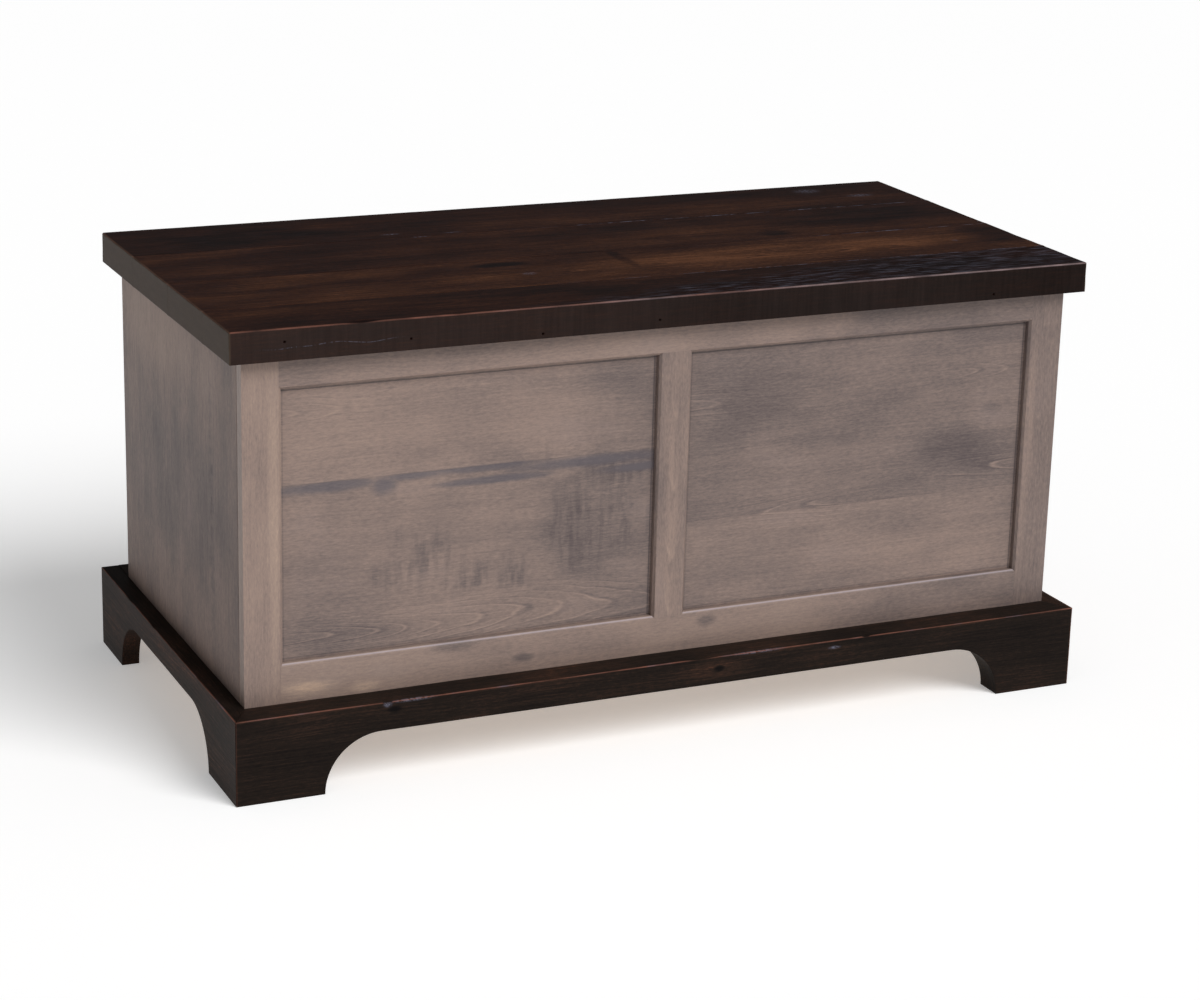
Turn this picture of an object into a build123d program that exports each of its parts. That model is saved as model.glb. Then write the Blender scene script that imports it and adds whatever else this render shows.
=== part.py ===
from build123d import *
import math
import os

# Frame-and-panel blanket chest: a stained case in a bracket-foot base, under a hinged plank lid.
# Millimetres, +Z up, front towards -Y. The origin is under the middle of the chest, on the floor.

# ---- overall heights and the case ----
CASE_W = 1128.0
CASE_D = 519.0
CASE_TOP = 544.0
CASE_BOTTOM = 92.0
WALL = 19.0
BASE_SIDE_T = 24.0
BASE_FRONT_T = 40.0
BASE_REAR_T = 51.0
BASE_H = 110.0
LID_OVERHANG = 20.0
LID_T = 40.0

BASE_DEPTH = BASE_FRONT_T + CASE_D + BASE_REAR_T
HALF_W = CASE_W / 2
FRONT = -BASE_DEPTH / 2 + BASE_FRONT_T
BACK = FRONT + CASE_D
INNER_X = HALF_W - WALL
INNER_FRONT = FRONT + WALL
INNER_BACK = BACK - WALL
BASE_HALF_W = HALF_W + BASE_SIDE_T
BASE_FRONT = FRONT - BASE_FRONT_T
BASE_BACK = BACK + BASE_REAR_T

# ---- front frame and flat panels ----
STILE_W = 49.0
MULLION_W = 45.0
TOP_RAIL_H = 40.0
BOTTOM_RAIL_TOP = 160.0
FRAME_BEVEL = 3.0
PANEL_T = 6.5
PANEL_SETBACK = 9.0
GROOVE_DEPTH = 10.0
PANEL_IN_GROOVE = 9.0
STILE_INNER_X = HALF_W - STILE_W
TOP_RAIL_BOTTOM = CASE_TOP - TOP_RAIL_H
MULLION_X = MULLION_W / 2
PANEL_FRONT = FRONT + PANEL_SETBACK
PANEL_BACK = PANEL_FRONT + PANEL_T

# ---- side panels, back and floor ----
CORNER_TONGUE = 6.0
CORNER_V = 1.2
BACK_RABBET = 9.0
FLOOR_T = 12.0

# ---- bracket-foot base ----
FOOT_W = 113.0
REAR_FOOT_W = 98.0
ARCH_H = 72.5
CORNER_ROUND = 2.5
BASE_EDGE_ROUND = 1.8
REAR_TENON = 8.0
REAR_TENON_T = 28.0
REAR_TENON_H = 22.0
LEDGER_W = 38.0
LEDGER_H = 20.0
LEDGER_BOTTOM = CASE_BOTTOM - LEDGER_H
BLOCK = 50.0
BLOCK_CHAMFER = 12.0

# ---- lid planks, front to rear ----
LID_PLANKS = (106.0, 146.0, 159.0, 148.0)
LID_EDGE_ROUND = 2.5
LID_TONGUE_T = 12.0
LID_TONGUE = 8.0
SEAM_V = 0.8
LID_HALF_W = HALF_W + LID_OVERHANG
LID_FRONT = FRONT - LID_OVERHANG
LID_BACK = BACK + LID_OVERHANG
LID_TOP = CASE_TOP + LID_T
BATTEN_X = 380.0
BATTEN_W = 60.0
BATTEN_T = 19.0
BATTEN_END_GAP = 20.0
BATTEN_FRONT = INNER_FRONT + BATTEN_END_GAP
BATTEN_BACK = INNER_BACK - BATTEN_END_GAP
BATTEN_CHAMFER = 6.0

# ---- butt hinges ----
HINGE_XS = (-430.0, 0.0, 430.0)
HINGE_NAMES = ("left", "center", "right")
HINGE_L = 90.0
HINGE_LEAF_T = 2.0
HINGE_LEAF_FRONT = BACK - 15.0
BARREL_R = 4.5
BARREL_STANDOFF = 5.5
PIN_R = 2.5
PIN_HEAD_R = 3.5
PIN_HEAD_T = 1.5
KNUCKLES = 5
KNUCKLE_GAP = 0.1
RUNNING_CLEARANCE = 0.05
BARREL_RELIEF = 0.7
HINGE_SCREW_PITCH = 32.0
PIN_Y = BACK + BARREL_STANDOFF
PIN_Z = CASE_TOP

# ---- two-arm lid stays, given for the right-hand side ----
STAY_PLATE_T = 2.0
STAY_GAP = 0.5
ARM_T = 3.0
ARM_HALF_W = 8.0
STUD_R = 3.5
STUD_HEAD_R = 5.5
STUD_HEAD_T = 1.5
HEAD_GAP = 0.3
CASE_PIVOT = (PIN_Y - 47.5, PIN_Z - 60.0)
LID_PIVOT = (PIN_Y - 185.0, PIN_Z - 15.0)
ELBOW = (CASE_PIVOT[0] + LID_PIVOT[0] - PIN_Y, CASE_PIVOT[1] + LID_PIVOT[1] - PIN_Z)
OPEN_ANGLE = 95.0
STOP_R = 3.0
STOP_ABOVE = 30.0
STOP_CLEARANCE = 0.05
CASE_PLATE_Y = (CASE_PIVOT[0] - 16.0, CASE_PIVOT[0] + 20.0)
CASE_PLATE_Z = (CASE_PIVOT[1] - 16.0, CASE_PIVOT[1] + 40.0)
CASE_PLATE_SCREWS = ((-9.0, 32.0), (14.0, 8.0), (8.0, -10.0))
PLATE_ROUND = 4.0
LID_PLATE_HALF_L = 22.0
LID_PLATE_W = 27.0
LID_PLATE_SCREW_Y = 13.0
LID_PLATE_SCREW_X = 18.0
FLANGE_T = 2.5
OUTER_ARM_X = INNER_X - STAY_PLATE_T - STAY_GAP
OUTER_ARM_IN = OUTER_ARM_X - ARM_T
INNER_ARM_X = OUTER_ARM_IN - STAY_GAP
INNER_ARM_IN = INNER_ARM_X - ARM_T
LID_FLANGE_X = OUTER_ARM_IN + FLANGE_T

# ---- countersunk wood screws: length, head radius, shank radius ----
HINGE_CASE_SCREW = (22.0, 3.6, 1.9)
HINGE_LID_SCREW = (25.0, 3.6, 1.9)
STAY_CASE_SCREW = (14.0, 3.2, 1.6)
STAY_LID_SCREW = (20.0, 3.2, 1.6)
BATTEN_SCREW = (44.0, 4.2, 2.1)
LEDGER_SCREW = (54.0, 4.2, 2.1)
CASE_SCREW = (30.0, 4.2, 2.1)
SCREW_SINK = 0.1
RECESS_W = 0.9
RECESS_DEPTH = 1.3
BATTEN_SCREW_HALF_PITCH = 12.0
BATTEN_SCREW_STAGGER = 12.0
LEDGER_SCREWS_X = (-400.0, -130.0, 130.0, 400.0)
LEDGER_SCREWS_Y = (-180.0, -5.0, 170.0)
CASE_SCREWS_X = (-300.0, 0.0, 300.0)
CASE_SCREWS_Y = (-100.0, 90.0)
CASE_SCREW_INSET = 10.0


def block(x0, x1, y0, y1, z0, z1):
    size = Box(x1 - x0, y1 - y0, z1 - z0, align=(Align.MIN, Align.MIN, Align.MIN))
    return Pos(x0, y0, z0) * size


def rod_x(radius, x0, x1, y, z):
    along_x = Rot(0, 90, 0) * Cylinder(radius, x1 - x0, align=(Align.CENTER, Align.CENTER, Align.MIN))
    return Pos(x0, y, z) * along_x


def mirrored(shape):
    return mirror(shape, about=Plane.YZ)


def group(shapes):
    return Compound(children=list(shapes))


# ---- screws ----

def screw_body(size):
    """Plain screw outline, head face at z = 0, pointing down; it is also the shape of its hole."""
    length, head_r, shank_r = size
    head_h = head_r - shank_r
    tip_h = 2 * shank_r
    outline = Polyline(
        (0, 0),
        (head_r, 0),
        (shank_r, -head_h),
        (shank_r, tip_h - length),
        (0, -length),
        (0, 0),
    )
    face = make_face(Plane.XZ * outline)
    return revolve(face, axis=Axis.Z)


def screw(size):
    head_r = size[1]
    slot_l = 1.3 * head_r
    cross = Box(slot_l, RECESS_W, 2 * RECESS_DEPTH) + Box(RECESS_W, slot_l, 2 * RECESS_DEPTH)
    return screw_body(size) - cross


def down_at(x, y, z):
    return Pos(x, y, z)


def up_at(x, y, z):
    return Pos(x, y, z) * Rot(180, 0, 0)


def front_at(x, y, z):
    return Pos(x, y, z) * Rot(-90, 0, 0)


def rear_at(x, y, z):
    return Pos(x, y, z) * Rot(90, 0, 0)


def right_at(x, y, z):
    return Pos(x, y, z) * Rot(0, -90, 0)


def left_at(x, y, z):
    return Pos(x, y, z) * Rot(0, 90, 0)


def screws(size, places):
    return group([place * screw(size) for place in places])


def drilled(shape, size, places):
    for place in places:
        shape -= place * screw_body(size)
    return shape


def hinge_case_places():
    z = CASE_TOP - SCREW_SINK
    y = (HINGE_LEAF_FRONT + BACK) / 2
    return [down_at(x + k * HINGE_SCREW_PITCH, y, z) for x in HINGE_XS for k in (-1, 0, 1)]


def hinge_lid_places():
    z = CASE_TOP + SCREW_SINK
    y = (HINGE_LEAF_FRONT + BACK) / 2
    return [up_at(x + k * HINGE_SCREW_PITCH, y, z) for x in HINGE_XS for k in (-1, 0, 1)]


def stay_case_places(side):
    x = side * (INNER_X - STAY_PLATE_T + SCREW_SINK)
    aim = right_at if side > 0 else left_at
    return [aim(x, CASE_PIVOT[0] + dy, CASE_PIVOT[1] + dz) for dy, dz in CASE_PLATE_SCREWS]


def stay_lid_places(side):
    x = side * (LID_FLANGE_X - LID_PLATE_SCREW_X)
    z = CASE_TOP - STAY_PLATE_T + SCREW_SINK
    return [up_at(x, LID_PIVOT[0] + k * LID_PLATE_SCREW_Y, z) for k in (-1, 1)]


def batten_places():
    """Two screws from each batten into each plank, in the middle of their overlap."""
    z = CASE_TOP - BATTEN_T + SCREW_SINK
    edges = plank_edges()
    places = []
    for y0, y1 in zip(edges[:-1], edges[1:]):
        middle = (max(y0, BATTEN_FRONT) + min(y1, BATTEN_BACK)) / 2
        for side in (-1, 1):
            for k in (-1, 1):
                x = side * BATTEN_X + k * BATTEN_SCREW_STAGGER
                places.append(up_at(x, middle + k * BATTEN_SCREW_HALF_PITCH, z))
    return places


def ledger_places():
    z = LEDGER_BOTTOM + LEDGER_H / 2
    reach = LEDGER_W - SCREW_SINK
    front = [front_at(x, FRONT + reach, z) for x in LEDGER_SCREWS_X]
    rear = [rear_at(x, BACK - reach, z) for x in LEDGER_SCREWS_X]
    left = [left_at(-HALF_W + reach, y, z) for y in LEDGER_SCREWS_Y]
    right = [right_at(HALF_W - reach, y, z) for y in LEDGER_SCREWS_Y]
    return front + rear + left + right


def case_places():
    z = LEDGER_BOTTOM + SCREW_SINK
    inset = WALL + CASE_SCREW_INSET
    places = []
    for x in CASE_SCREWS_X:
        places.append(up_at(x, FRONT + inset, z))
        places.append(up_at(x, BACK - inset, z))
    for y in CASE_SCREWS_Y:
        places.append(up_at(-HALF_W + inset, y, z))
        places.append(up_at(HALF_W - inset, y, z))
    return places


# ---- front frame ----

def bevel_along_z(x, outward, z0, z1):
    """Triangle taken off the front arris of an upright edge at x, on its outward side."""
    far = x + outward * FRAME_BEVEL
    tri = Polyline((x, FRONT), (far, FRONT), (x, FRONT + FRAME_BEVEL), (x, FRONT))
    return Pos(0, 0, z0) * extrude(make_face(tri), amount=z1 - z0, dir=(0, 0, 1))


def bevel_along_x(z, outward, x0, x1):
    """Triangle taken off the front arris of a level edge at z, on its outward side."""
    far = z + outward * FRAME_BEVEL
    tri = Polyline((x0, FRONT, z), (x0, FRONT, far), (x0, FRONT + FRAME_BEVEL, z), (x0, FRONT, z))
    return extrude(make_face(tri), amount=x1 - x0, dir=(1, 0, 0))


def front_stile():
    """Right-hand stile, grooved for the panel and rails, and grooved behind for the side panel."""
    stile = block(STILE_INNER_X, HALF_W, FRONT, INNER_FRONT, CASE_BOTTOM, CASE_TOP)
    groove_x = STILE_INNER_X + GROOVE_DEPTH
    stile -= block(STILE_INNER_X, groove_x, PANEL_FRONT, PANEL_BACK, CASE_BOTTOM, CASE_TOP)
    stile -= bevel_along_z(STILE_INNER_X, 1, CASE_BOTTOM, CASE_TOP)
    stile -= corner_tongue()
    stile -= corner_v(INNER_FRONT, -1)
    return stile


def corner_tongue():
    middle = HALF_W - WALL / 2
    half = CORNER_TONGUE / 2
    return block(middle - half, middle + half, INNER_FRONT - CORNER_TONGUE, INNER_FRONT, CASE_BOTTOM, CASE_TOP)


def corner_v(y, direction):
    """Small arris taken off the outer corner where the side panel meets the front frame."""
    tri = Polyline(
        (HALF_W, y),
        (HALF_W, y + direction * CORNER_V),
        (HALF_W - CORNER_V, y),
        (HALF_W, y),
    )
    return Pos(0, 0, CASE_BOTTOM) * extrude(make_face(tri), amount=CASE_TOP - CASE_BOTTOM, dir=(0, 0, 1))


def rail(z0, z1, edge_z, inward):
    """Rail between the stiles; edge_z is its panel edge and inward points into the rail."""
    groove_x = STILE_INNER_X + GROOVE_DEPTH
    shape = block(-STILE_INNER_X, STILE_INNER_X, FRONT, INNER_FRONT, z0, z1)
    shape += block(-groove_x, groove_x, PANEL_FRONT, PANEL_BACK, z0, z1)
    shape += bevel_along_z(STILE_INNER_X, 1, z0, z1)
    shape += bevel_along_z(-STILE_INNER_X, -1, z0, z1)
    low, high = sorted((edge_z, edge_z + inward * GROOVE_DEPTH))
    shape -= block(-groove_x, groove_x, PANEL_FRONT, PANEL_BACK, low, high)
    bevel_x = STILE_INNER_X + FRAME_BEVEL
    return shape - bevel_along_x(edge_z, inward, -bevel_x, bevel_x)


def front_top_rail():
    return rail(TOP_RAIL_BOTTOM, CASE_TOP, TOP_RAIL_BOTTOM, 1)


def front_bottom_rail():
    return rail(CASE_BOTTOM, BOTTOM_RAIL_TOP, BOTTOM_RAIL_TOP, -1)


def front_mullion():
    z0 = BOTTOM_RAIL_TOP
    z1 = TOP_RAIL_BOTTOM
    shape = block(-MULLION_X, MULLION_X, FRONT, INNER_FRONT, z0, z1)
    shape += block(-MULLION_X, MULLION_X, PANEL_FRONT, PANEL_BACK, z0 - GROOVE_DEPTH, z1 + GROOVE_DEPTH)
    shape += bevel_along_x(z0, -1, -MULLION_X, MULLION_X)
    shape += bevel_along_x(z1, 1, -MULLION_X, MULLION_X)
    for side in (-1, 1):
        x0, x1 = sorted((side * MULLION_X, side * (MULLION_X - GROOVE_DEPTH)))
        shape -= block(x0, x1, PANEL_FRONT, PANEL_BACK, z0 - GROOVE_DEPTH, z1 + GROOVE_DEPTH)
        shape -= bevel_along_z(side * MULLION_X, -side, z0 - FRAME_BEVEL, z1 + FRAME_BEVEL)
    return shape


def front_panel():
    """Right-hand flat panel, floating in the frame's grooves."""
    x0 = MULLION_X - PANEL_IN_GROOVE
    x1 = STILE_INNER_X + PANEL_IN_GROOVE
    z0 = BOTTOM_RAIL_TOP - PANEL_IN_GROOVE
    z1 = TOP_RAIL_BOTTOM + PANEL_IN_GROOVE
    return block(x0, x1, PANEL_FRONT, PANEL_BACK, z0, z1)


# ---- sides, back and floor of the case ----

def side_panel():
    """Right-hand side: tongued into the front stile and rabbeted for the back."""
    panel = block(INNER_X, HALF_W, INNER_FRONT, BACK, CASE_BOTTOM, CASE_TOP)
    panel -= corner_v(INNER_FRONT, 1)
    panel += corner_tongue()
    panel -= block(INNER_X, INNER_X + BACK_RABBET, INNER_BACK, BACK, CASE_BOTTOM, CASE_TOP)
    return drilled(panel, STAY_CASE_SCREW, stay_case_places(1))


def back_panel():
    half = INNER_X + BACK_RABBET
    panel = block(-half, half, INNER_BACK, BACK, CASE_BOTTOM, CASE_TOP)
    for x in HINGE_XS:
        panel -= block(
            x - HINGE_L / 2, x + HINGE_L / 2, HINGE_LEAF_FRONT, BACK, CASE_TOP - HINGE_LEAF_T, CASE_TOP
        )
    return drilled(panel, HINGE_CASE_SCREW, hinge_case_places())


def floor_panel():
    panel = block(-INNER_X, INNER_X, INNER_FRONT, INNER_BACK, CASE_BOTTOM, CASE_BOTTOM + FLOOR_T)
    return drilled(panel, CASE_SCREW, case_places())


# ---- bracket-foot base ----

def arch_face(foot_a, foot_b, a, b):
    """Arch outline between two feet, quarter rounds running out onto a level edge."""
    left = a + foot_a
    right = b - foot_b
    bow = ARCH_H * math.sqrt(0.5)
    line = Polyline((right - ARCH_H, ARCH_H), (left + ARCH_H, ARCH_H))
    near = ThreePointArc((left + ARCH_H, ARCH_H), (left + ARCH_H - bow, bow), (left, 0))
    floor_line = Line((left, 0), (right, 0))
    far = ThreePointArc((right, 0), (right - ARCH_H + bow, bow), (right - ARCH_H, ARCH_H))
    return make_face(line + near + floor_line + far)


def base_ring():
    """Front and side boards as one rounded outline, before they are mitred apart."""
    ring = block(-BASE_HALF_W, BASE_HALF_W, BASE_FRONT, BASE_BACK, 0, BASE_H)
    ring = fillet(ring.edges().filter_by(Axis.Z).group_by(Axis.Y)[0], CORNER_ROUND)
    ring = fillet(ring.faces().sort_by(Axis.Z)[-1].edges(), BASE_EDGE_ROUND)
    ring -= block(-HALF_W, HALF_W, FRONT, BASE_BACK, 0, BASE_H)
    front_arch = Plane.XZ * arch_face(FOOT_W, FOOT_W, -BASE_HALF_W, BASE_HALF_W)
    ring -= Pos(0, FRONT, 0) * extrude(front_arch, amount=BASE_FRONT_T, dir=(0, -1, 0))
    side_arch = Plane.YZ * arch_face(FOOT_W, REAR_FOOT_W, BASE_FRONT, BASE_BACK)
    return ring - extrude(side_arch, amount=BASE_HALF_W, both=True, dir=(1, 0, 0))


def mitre_wedge():
    """Everything in front of the two mitre planes."""
    reach = 2 * BASE_SIDE_T
    slope = BASE_FRONT_T / BASE_SIDE_T
    far_x = HALF_W + reach
    far_y = FRONT - reach * slope
    outline = Polyline((-HALF_W, FRONT), (-far_x, far_y), (far_x, far_y), (HALF_W, FRONT), (-HALF_W, FRONT))
    return extrude(make_face(outline), amount=BASE_H, dir=(0, 0, 1))


def base_front():
    return drilled(base_ring() & mitre_wedge(), LEDGER_SCREW, ledger_places())


def rear_tenon():
    y = (BACK + BASE_BACK) / 2
    z = (ARCH_H + BASE_H) / 2
    reach = HALF_W + REAR_TENON
    return block(
        -reach, reach,
        y - REAR_TENON_T / 2, y + REAR_TENON_T / 2,
        z - REAR_TENON_H / 2, z + REAR_TENON_H / 2,
    )


def base_side():
    """Right-hand base board, mitred in front and mortised for the rear rail."""
    half_space = block(HALF_W, BASE_HALF_W, BASE_FRONT, BASE_BACK, 0, BASE_H)
    board = (base_ring() - mitre_wedge()) & half_space
    board -= rear_tenon()
    return drilled(board, LEDGER_SCREW, ledger_places())


def base_rear_rail():
    rail_shape = block(-HALF_W, HALF_W, BACK, BASE_BACK, ARCH_H, BASE_H)
    top_rear = rail_shape.edges().filter_by(Axis.X).group_by(Axis.Y)[-1].sort_by(Axis.Z)[-1]
    rail_shape = fillet(top_rear, BASE_EDGE_ROUND)
    return drilled(rail_shape + rear_tenon(), LEDGER_SCREW, ledger_places())


def ledger_long(y0):
    half = HALF_W - LEDGER_W
    strip = block(-half, half, y0, y0 + LEDGER_W, LEDGER_BOTTOM, CASE_BOTTOM)
    strip = drilled(strip, LEDGER_SCREW, ledger_places())
    return drilled(strip, CASE_SCREW, case_places())


def ledger_side():
    strip = block(HALF_W - LEDGER_W, HALF_W, FRONT, BACK, LEDGER_BOTTOM, CASE_BOTTOM)
    strip = drilled(strip, LEDGER_SCREW, ledger_places())
    return drilled(strip, CASE_SCREW, case_places())


def foot_blocks():
    """Glue blocks: two behind the front feet and two under the ends of the rear rail."""
    top = LEDGER_BOTTOM
    shapes = []
    for side in (-1, 1):
        for y0 in (FRONT, BACK):
            x0, x1 = sorted((side * HALF_W, side * (HALF_W - BLOCK)))
            blank = block(x0, x1, y0, y0 + BLOCK, top - BLOCK, top)
            upright = blank.edges().filter_by(Axis.Z)
            inner = upright.sort_by(lambda e: abs(e.center().X) - e.center().Y * (1 if y0 == FRONT else -1))
            shapes.append(chamfer(inner[0], BLOCK_CHAMFER))
    return group(shapes)


# ---- lid ----

def plank_edges():
    edges = [LID_FRONT]
    for width in LID_PLANKS:
        edges.append(edges[-1] + width)
    return edges


def lid_slab():
    slab = block(-LID_HALF_W, LID_HALF_W, LID_FRONT, LID_BACK, CASE_TOP, LID_TOP)
    slab = fillet(slab.edges().filter_by(Axis.Z), LID_EDGE_ROUND)
    slab = fillet(slab.faces().sort_by(Axis.Z)[-1].edges(), LID_EDGE_ROUND)
    for seam in plank_edges()[1:-1]:
        corner = Pos(0, seam, LID_TOP) * Rot(45, 0, 0) * Box(2 * LID_HALF_W, SEAM_V, SEAM_V)
        slab -= corner
    return slab


def lid_tongue(seam):
    """Tongue that the plank behind a seam sends into the plank in front of it."""
    middle = (CASE_TOP + LID_TOP) / 2
    half = LID_TONGUE_T / 2
    return block(-LID_HALF_W, LID_HALF_W, seam - LID_TONGUE, seam, middle - half, middle + half)


def hinge_relief():
    """Mortises and barrel grooves in the underside of the rear plank."""
    cuts = []
    for x in HINGE_XS:
        half = HINGE_L / 2
        cuts.append(block(x - half, x + half, HINGE_LEAF_FRONT, PIN_Y, CASE_TOP, CASE_TOP + HINGE_LEAF_T))
        reach = half + PIN_HEAD_T + BARREL_RELIEF
        cuts.append(rod_x(BARREL_R + BARREL_RELIEF, x - reach, x + reach, PIN_Y, PIN_Z))
    return cuts


def lid_plank(index):
    edges = plank_edges()
    y0 = edges[index]
    y1 = edges[index + 1]
    plank = lid_slab() & block(-LID_HALF_W, LID_HALF_W, y0, y1, CASE_TOP, LID_TOP)
    if index > 0:
        plank += lid_tongue(y0)
    if index < len(LID_PLANKS) - 1:
        plank -= lid_tongue(y1)
    else:
        for cut in hinge_relief():
            plank -= cut
        plank = drilled(plank, HINGE_LID_SCREW, hinge_lid_places())
    stay_screws = stay_lid_places(1) + stay_lid_places(-1)
    if y0 < LID_PIVOT[0] < y1:
        plank = drilled(plank, STAY_LID_SCREW, stay_screws)
    near = [p for p in batten_places() if y0 < p.position.Y < y1]
    return drilled(plank, BATTEN_SCREW, near)


def lid_batten(side):
    x = side * BATTEN_X
    x0 = x - BATTEN_W / 2
    batten = block(x0, x0 + BATTEN_W, BATTEN_FRONT, BATTEN_BACK, CASE_TOP - BATTEN_T, CASE_TOP)
    batten = chamfer(batten.faces().sort_by(Axis.Z)[0].edges().filter_by(Axis.X), BATTEN_CHAMFER)
    near = [p for p in batten_places() if p.position.X * side > 0]
    return drilled(batten, BATTEN_SCREW, near)


# ---- hinges ----

def knuckle_spans(x, first):
    step = HINGE_L / KNUCKLES
    start = x - HINGE_L / 2
    return [
        (start + i * step + KNUCKLE_GAP, start + (i + 1) * step - KNUCKLE_GAP)
        for i in range(first, KNUCKLES, 2)
    ]


def hinge_leaf(x, first, z0, bore_r, size, places):
    z1 = z0 + HINGE_LEAF_T
    leaf = block(x - HINGE_L / 2, x + HINGE_L / 2, HINGE_LEAF_FRONT, BACK, z0, z1)
    for x0, x1 in knuckle_spans(x, first):
        leaf += block(x0, x1, BACK, PIN_Y, z0, z1)
        leaf += rod_x(BARREL_R, x0, x1, PIN_Y, PIN_Z)
    leaf -= rod_x(bore_r, x - HINGE_L, x + HINGE_L, PIN_Y, PIN_Z)
    near = [p for p in places if abs(p.position.X - x) < HINGE_L]
    return drilled(leaf, size, near)


def hinge_case_leaf(x):
    return hinge_leaf(x, 0, CASE_TOP - HINGE_LEAF_T, PIN_R, HINGE_CASE_SCREW, hinge_case_places())


def hinge_lid_leaf(x):
    bore_r = PIN_R + RUNNING_CLEARANCE
    return hinge_leaf(x, 1, CASE_TOP, bore_r, HINGE_LID_SCREW, hinge_lid_places())


def hinge_pin(x):
    half = HINGE_L / 2
    pin = rod_x(PIN_R, x - half, x + half, PIN_Y, PIN_Z)
    for end in (x - half - PIN_HEAD_T, x + half):
        pin += rod_x(PIN_HEAD_R, end, end + PIN_HEAD_T, PIN_Y, PIN_Z)
    return pin


# ---- lid stays ----

def arm(a, b, x0, x1):
    """Flat bar with round ends between two pivots."""
    length = math.dist(a, b)
    tilt = math.degrees(math.atan2(b[1] - a[1], b[0] - a[0]))
    outline = SlotCenterToCenter(length, 2 * ARM_HALF_W)
    bar = extrude(Plane.YZ * outline, amount=x1 - x0, dir=(1, 0, 0))
    middle = ((a[0] + b[0]) / 2, (a[1] + b[1]) / 2)
    return Pos(x0, middle[0], middle[1]) * Rot(tilt, 0, 0) * bar


def lower_arm():
    bar = arm(CASE_PIVOT, ELBOW, OUTER_ARM_IN, OUTER_ARM_X)
    bar -= rod_x(STUD_R + RUNNING_CLEARANCE, OUTER_ARM_IN, OUTER_ARM_X, *CASE_PIVOT)
    return bar - rod_x(STUD_R, OUTER_ARM_IN, OUTER_ARM_X, *ELBOW)


def upper_arm():
    bar = arm(LID_PIVOT, ELBOW, INNER_ARM_IN, INNER_ARM_X)
    for pivot in (LID_PIVOT, ELBOW):
        bar -= rod_x(STUD_R + RUNNING_CLEARANCE, INNER_ARM_IN, INNER_ARM_X, *pivot)
    return bar


def elbow_rivet():
    head_x = INNER_ARM_IN - HEAD_GAP
    rivet = rod_x(STUD_R, head_x, OUTER_ARM_X, *ELBOW)
    rivet += rod_x(STUD_HEAD_R, head_x - STUD_HEAD_T, head_x, *ELBOW)
    return rivet + rod_x(STUD_HEAD_R, OUTER_ARM_X, OUTER_ARM_X + STUD_HEAD_T, *ELBOW)


def stop_centre():
    """The stop stud touches the rear edge of the lower arm when the lid is fully open."""
    run = LID_PIVOT[0] - PIN_Y
    rise = LID_PIVOT[1] - PIN_Z
    turn = math.radians(OPEN_ANGLE)
    ahead = run * math.cos(turn) + rise * math.sin(turn)
    up = rise * math.cos(turn) - run * math.sin(turn)
    length = math.hypot(ahead, up)
    offset = ARM_HALF_W + STOP_R + STOP_CLEARANCE
    y = CASE_PIVOT[0] + (ahead * STOP_ABOVE + up * offset) / length
    z = CASE_PIVOT[1] + (up * STOP_ABOVE - ahead * offset) / length
    return y, z


def stay_case_bracket():
    x0 = INNER_X - STAY_PLATE_T
    plate = block(x0, INNER_X, *CASE_PLATE_Y, *CASE_PLATE_Z)
    plate = fillet(plate.edges().filter_by(Axis.X), PLATE_ROUND)
    head_x = OUTER_ARM_IN - HEAD_GAP
    plate += rod_x(STUD_R, head_x, x0, *CASE_PIVOT)
    plate += rod_x(STUD_HEAD_R, head_x - STUD_HEAD_T, head_x, *CASE_PIVOT)
    plate += rod_x(STOP_R, OUTER_ARM_IN, x0, *stop_centre())
    return drilled(plate, STAY_CASE_SCREW, stay_case_places(1))


def stay_lid_bracket():
    y, z = LID_PIVOT
    x_in = LID_FLANGE_X - LID_PLATE_W
    plate_z = CASE_TOP - STAY_PLATE_T
    foot = block(x_in, LID_FLANGE_X, y - LID_PLATE_HALF_L, y + LID_PLATE_HALF_L, plate_z, CASE_TOP)
    foot = fillet(foot.edges().filter_by(Axis.Z).group_by(Axis.X)[0], PLATE_ROUND)
    flange_half = ARM_HALF_W + PLATE_ROUND
    flange = block(OUTER_ARM_IN, LID_FLANGE_X, y - flange_half, y + flange_half, z, CASE_TOP)
    flange += rod_x(flange_half, OUTER_ARM_IN, LID_FLANGE_X, y, z)
    head_x = INNER_ARM_IN - HEAD_GAP
    stud = rod_x(STUD_R, head_x, OUTER_ARM_IN, y, z)
    stud += rod_x(STUD_HEAD_R, head_x - STUD_HEAD_T, head_x, y, z)
    return drilled(foot + flange + stud, STAY_LID_SCREW, stay_lid_places(1))


def save(shape, node):
    export_step(shape, f"parts/{node}.step")


def save_pair(shape, pattern):
    save(shape, pattern.format("right"))
    save(mirrored(shape), pattern.format("left"))


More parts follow.
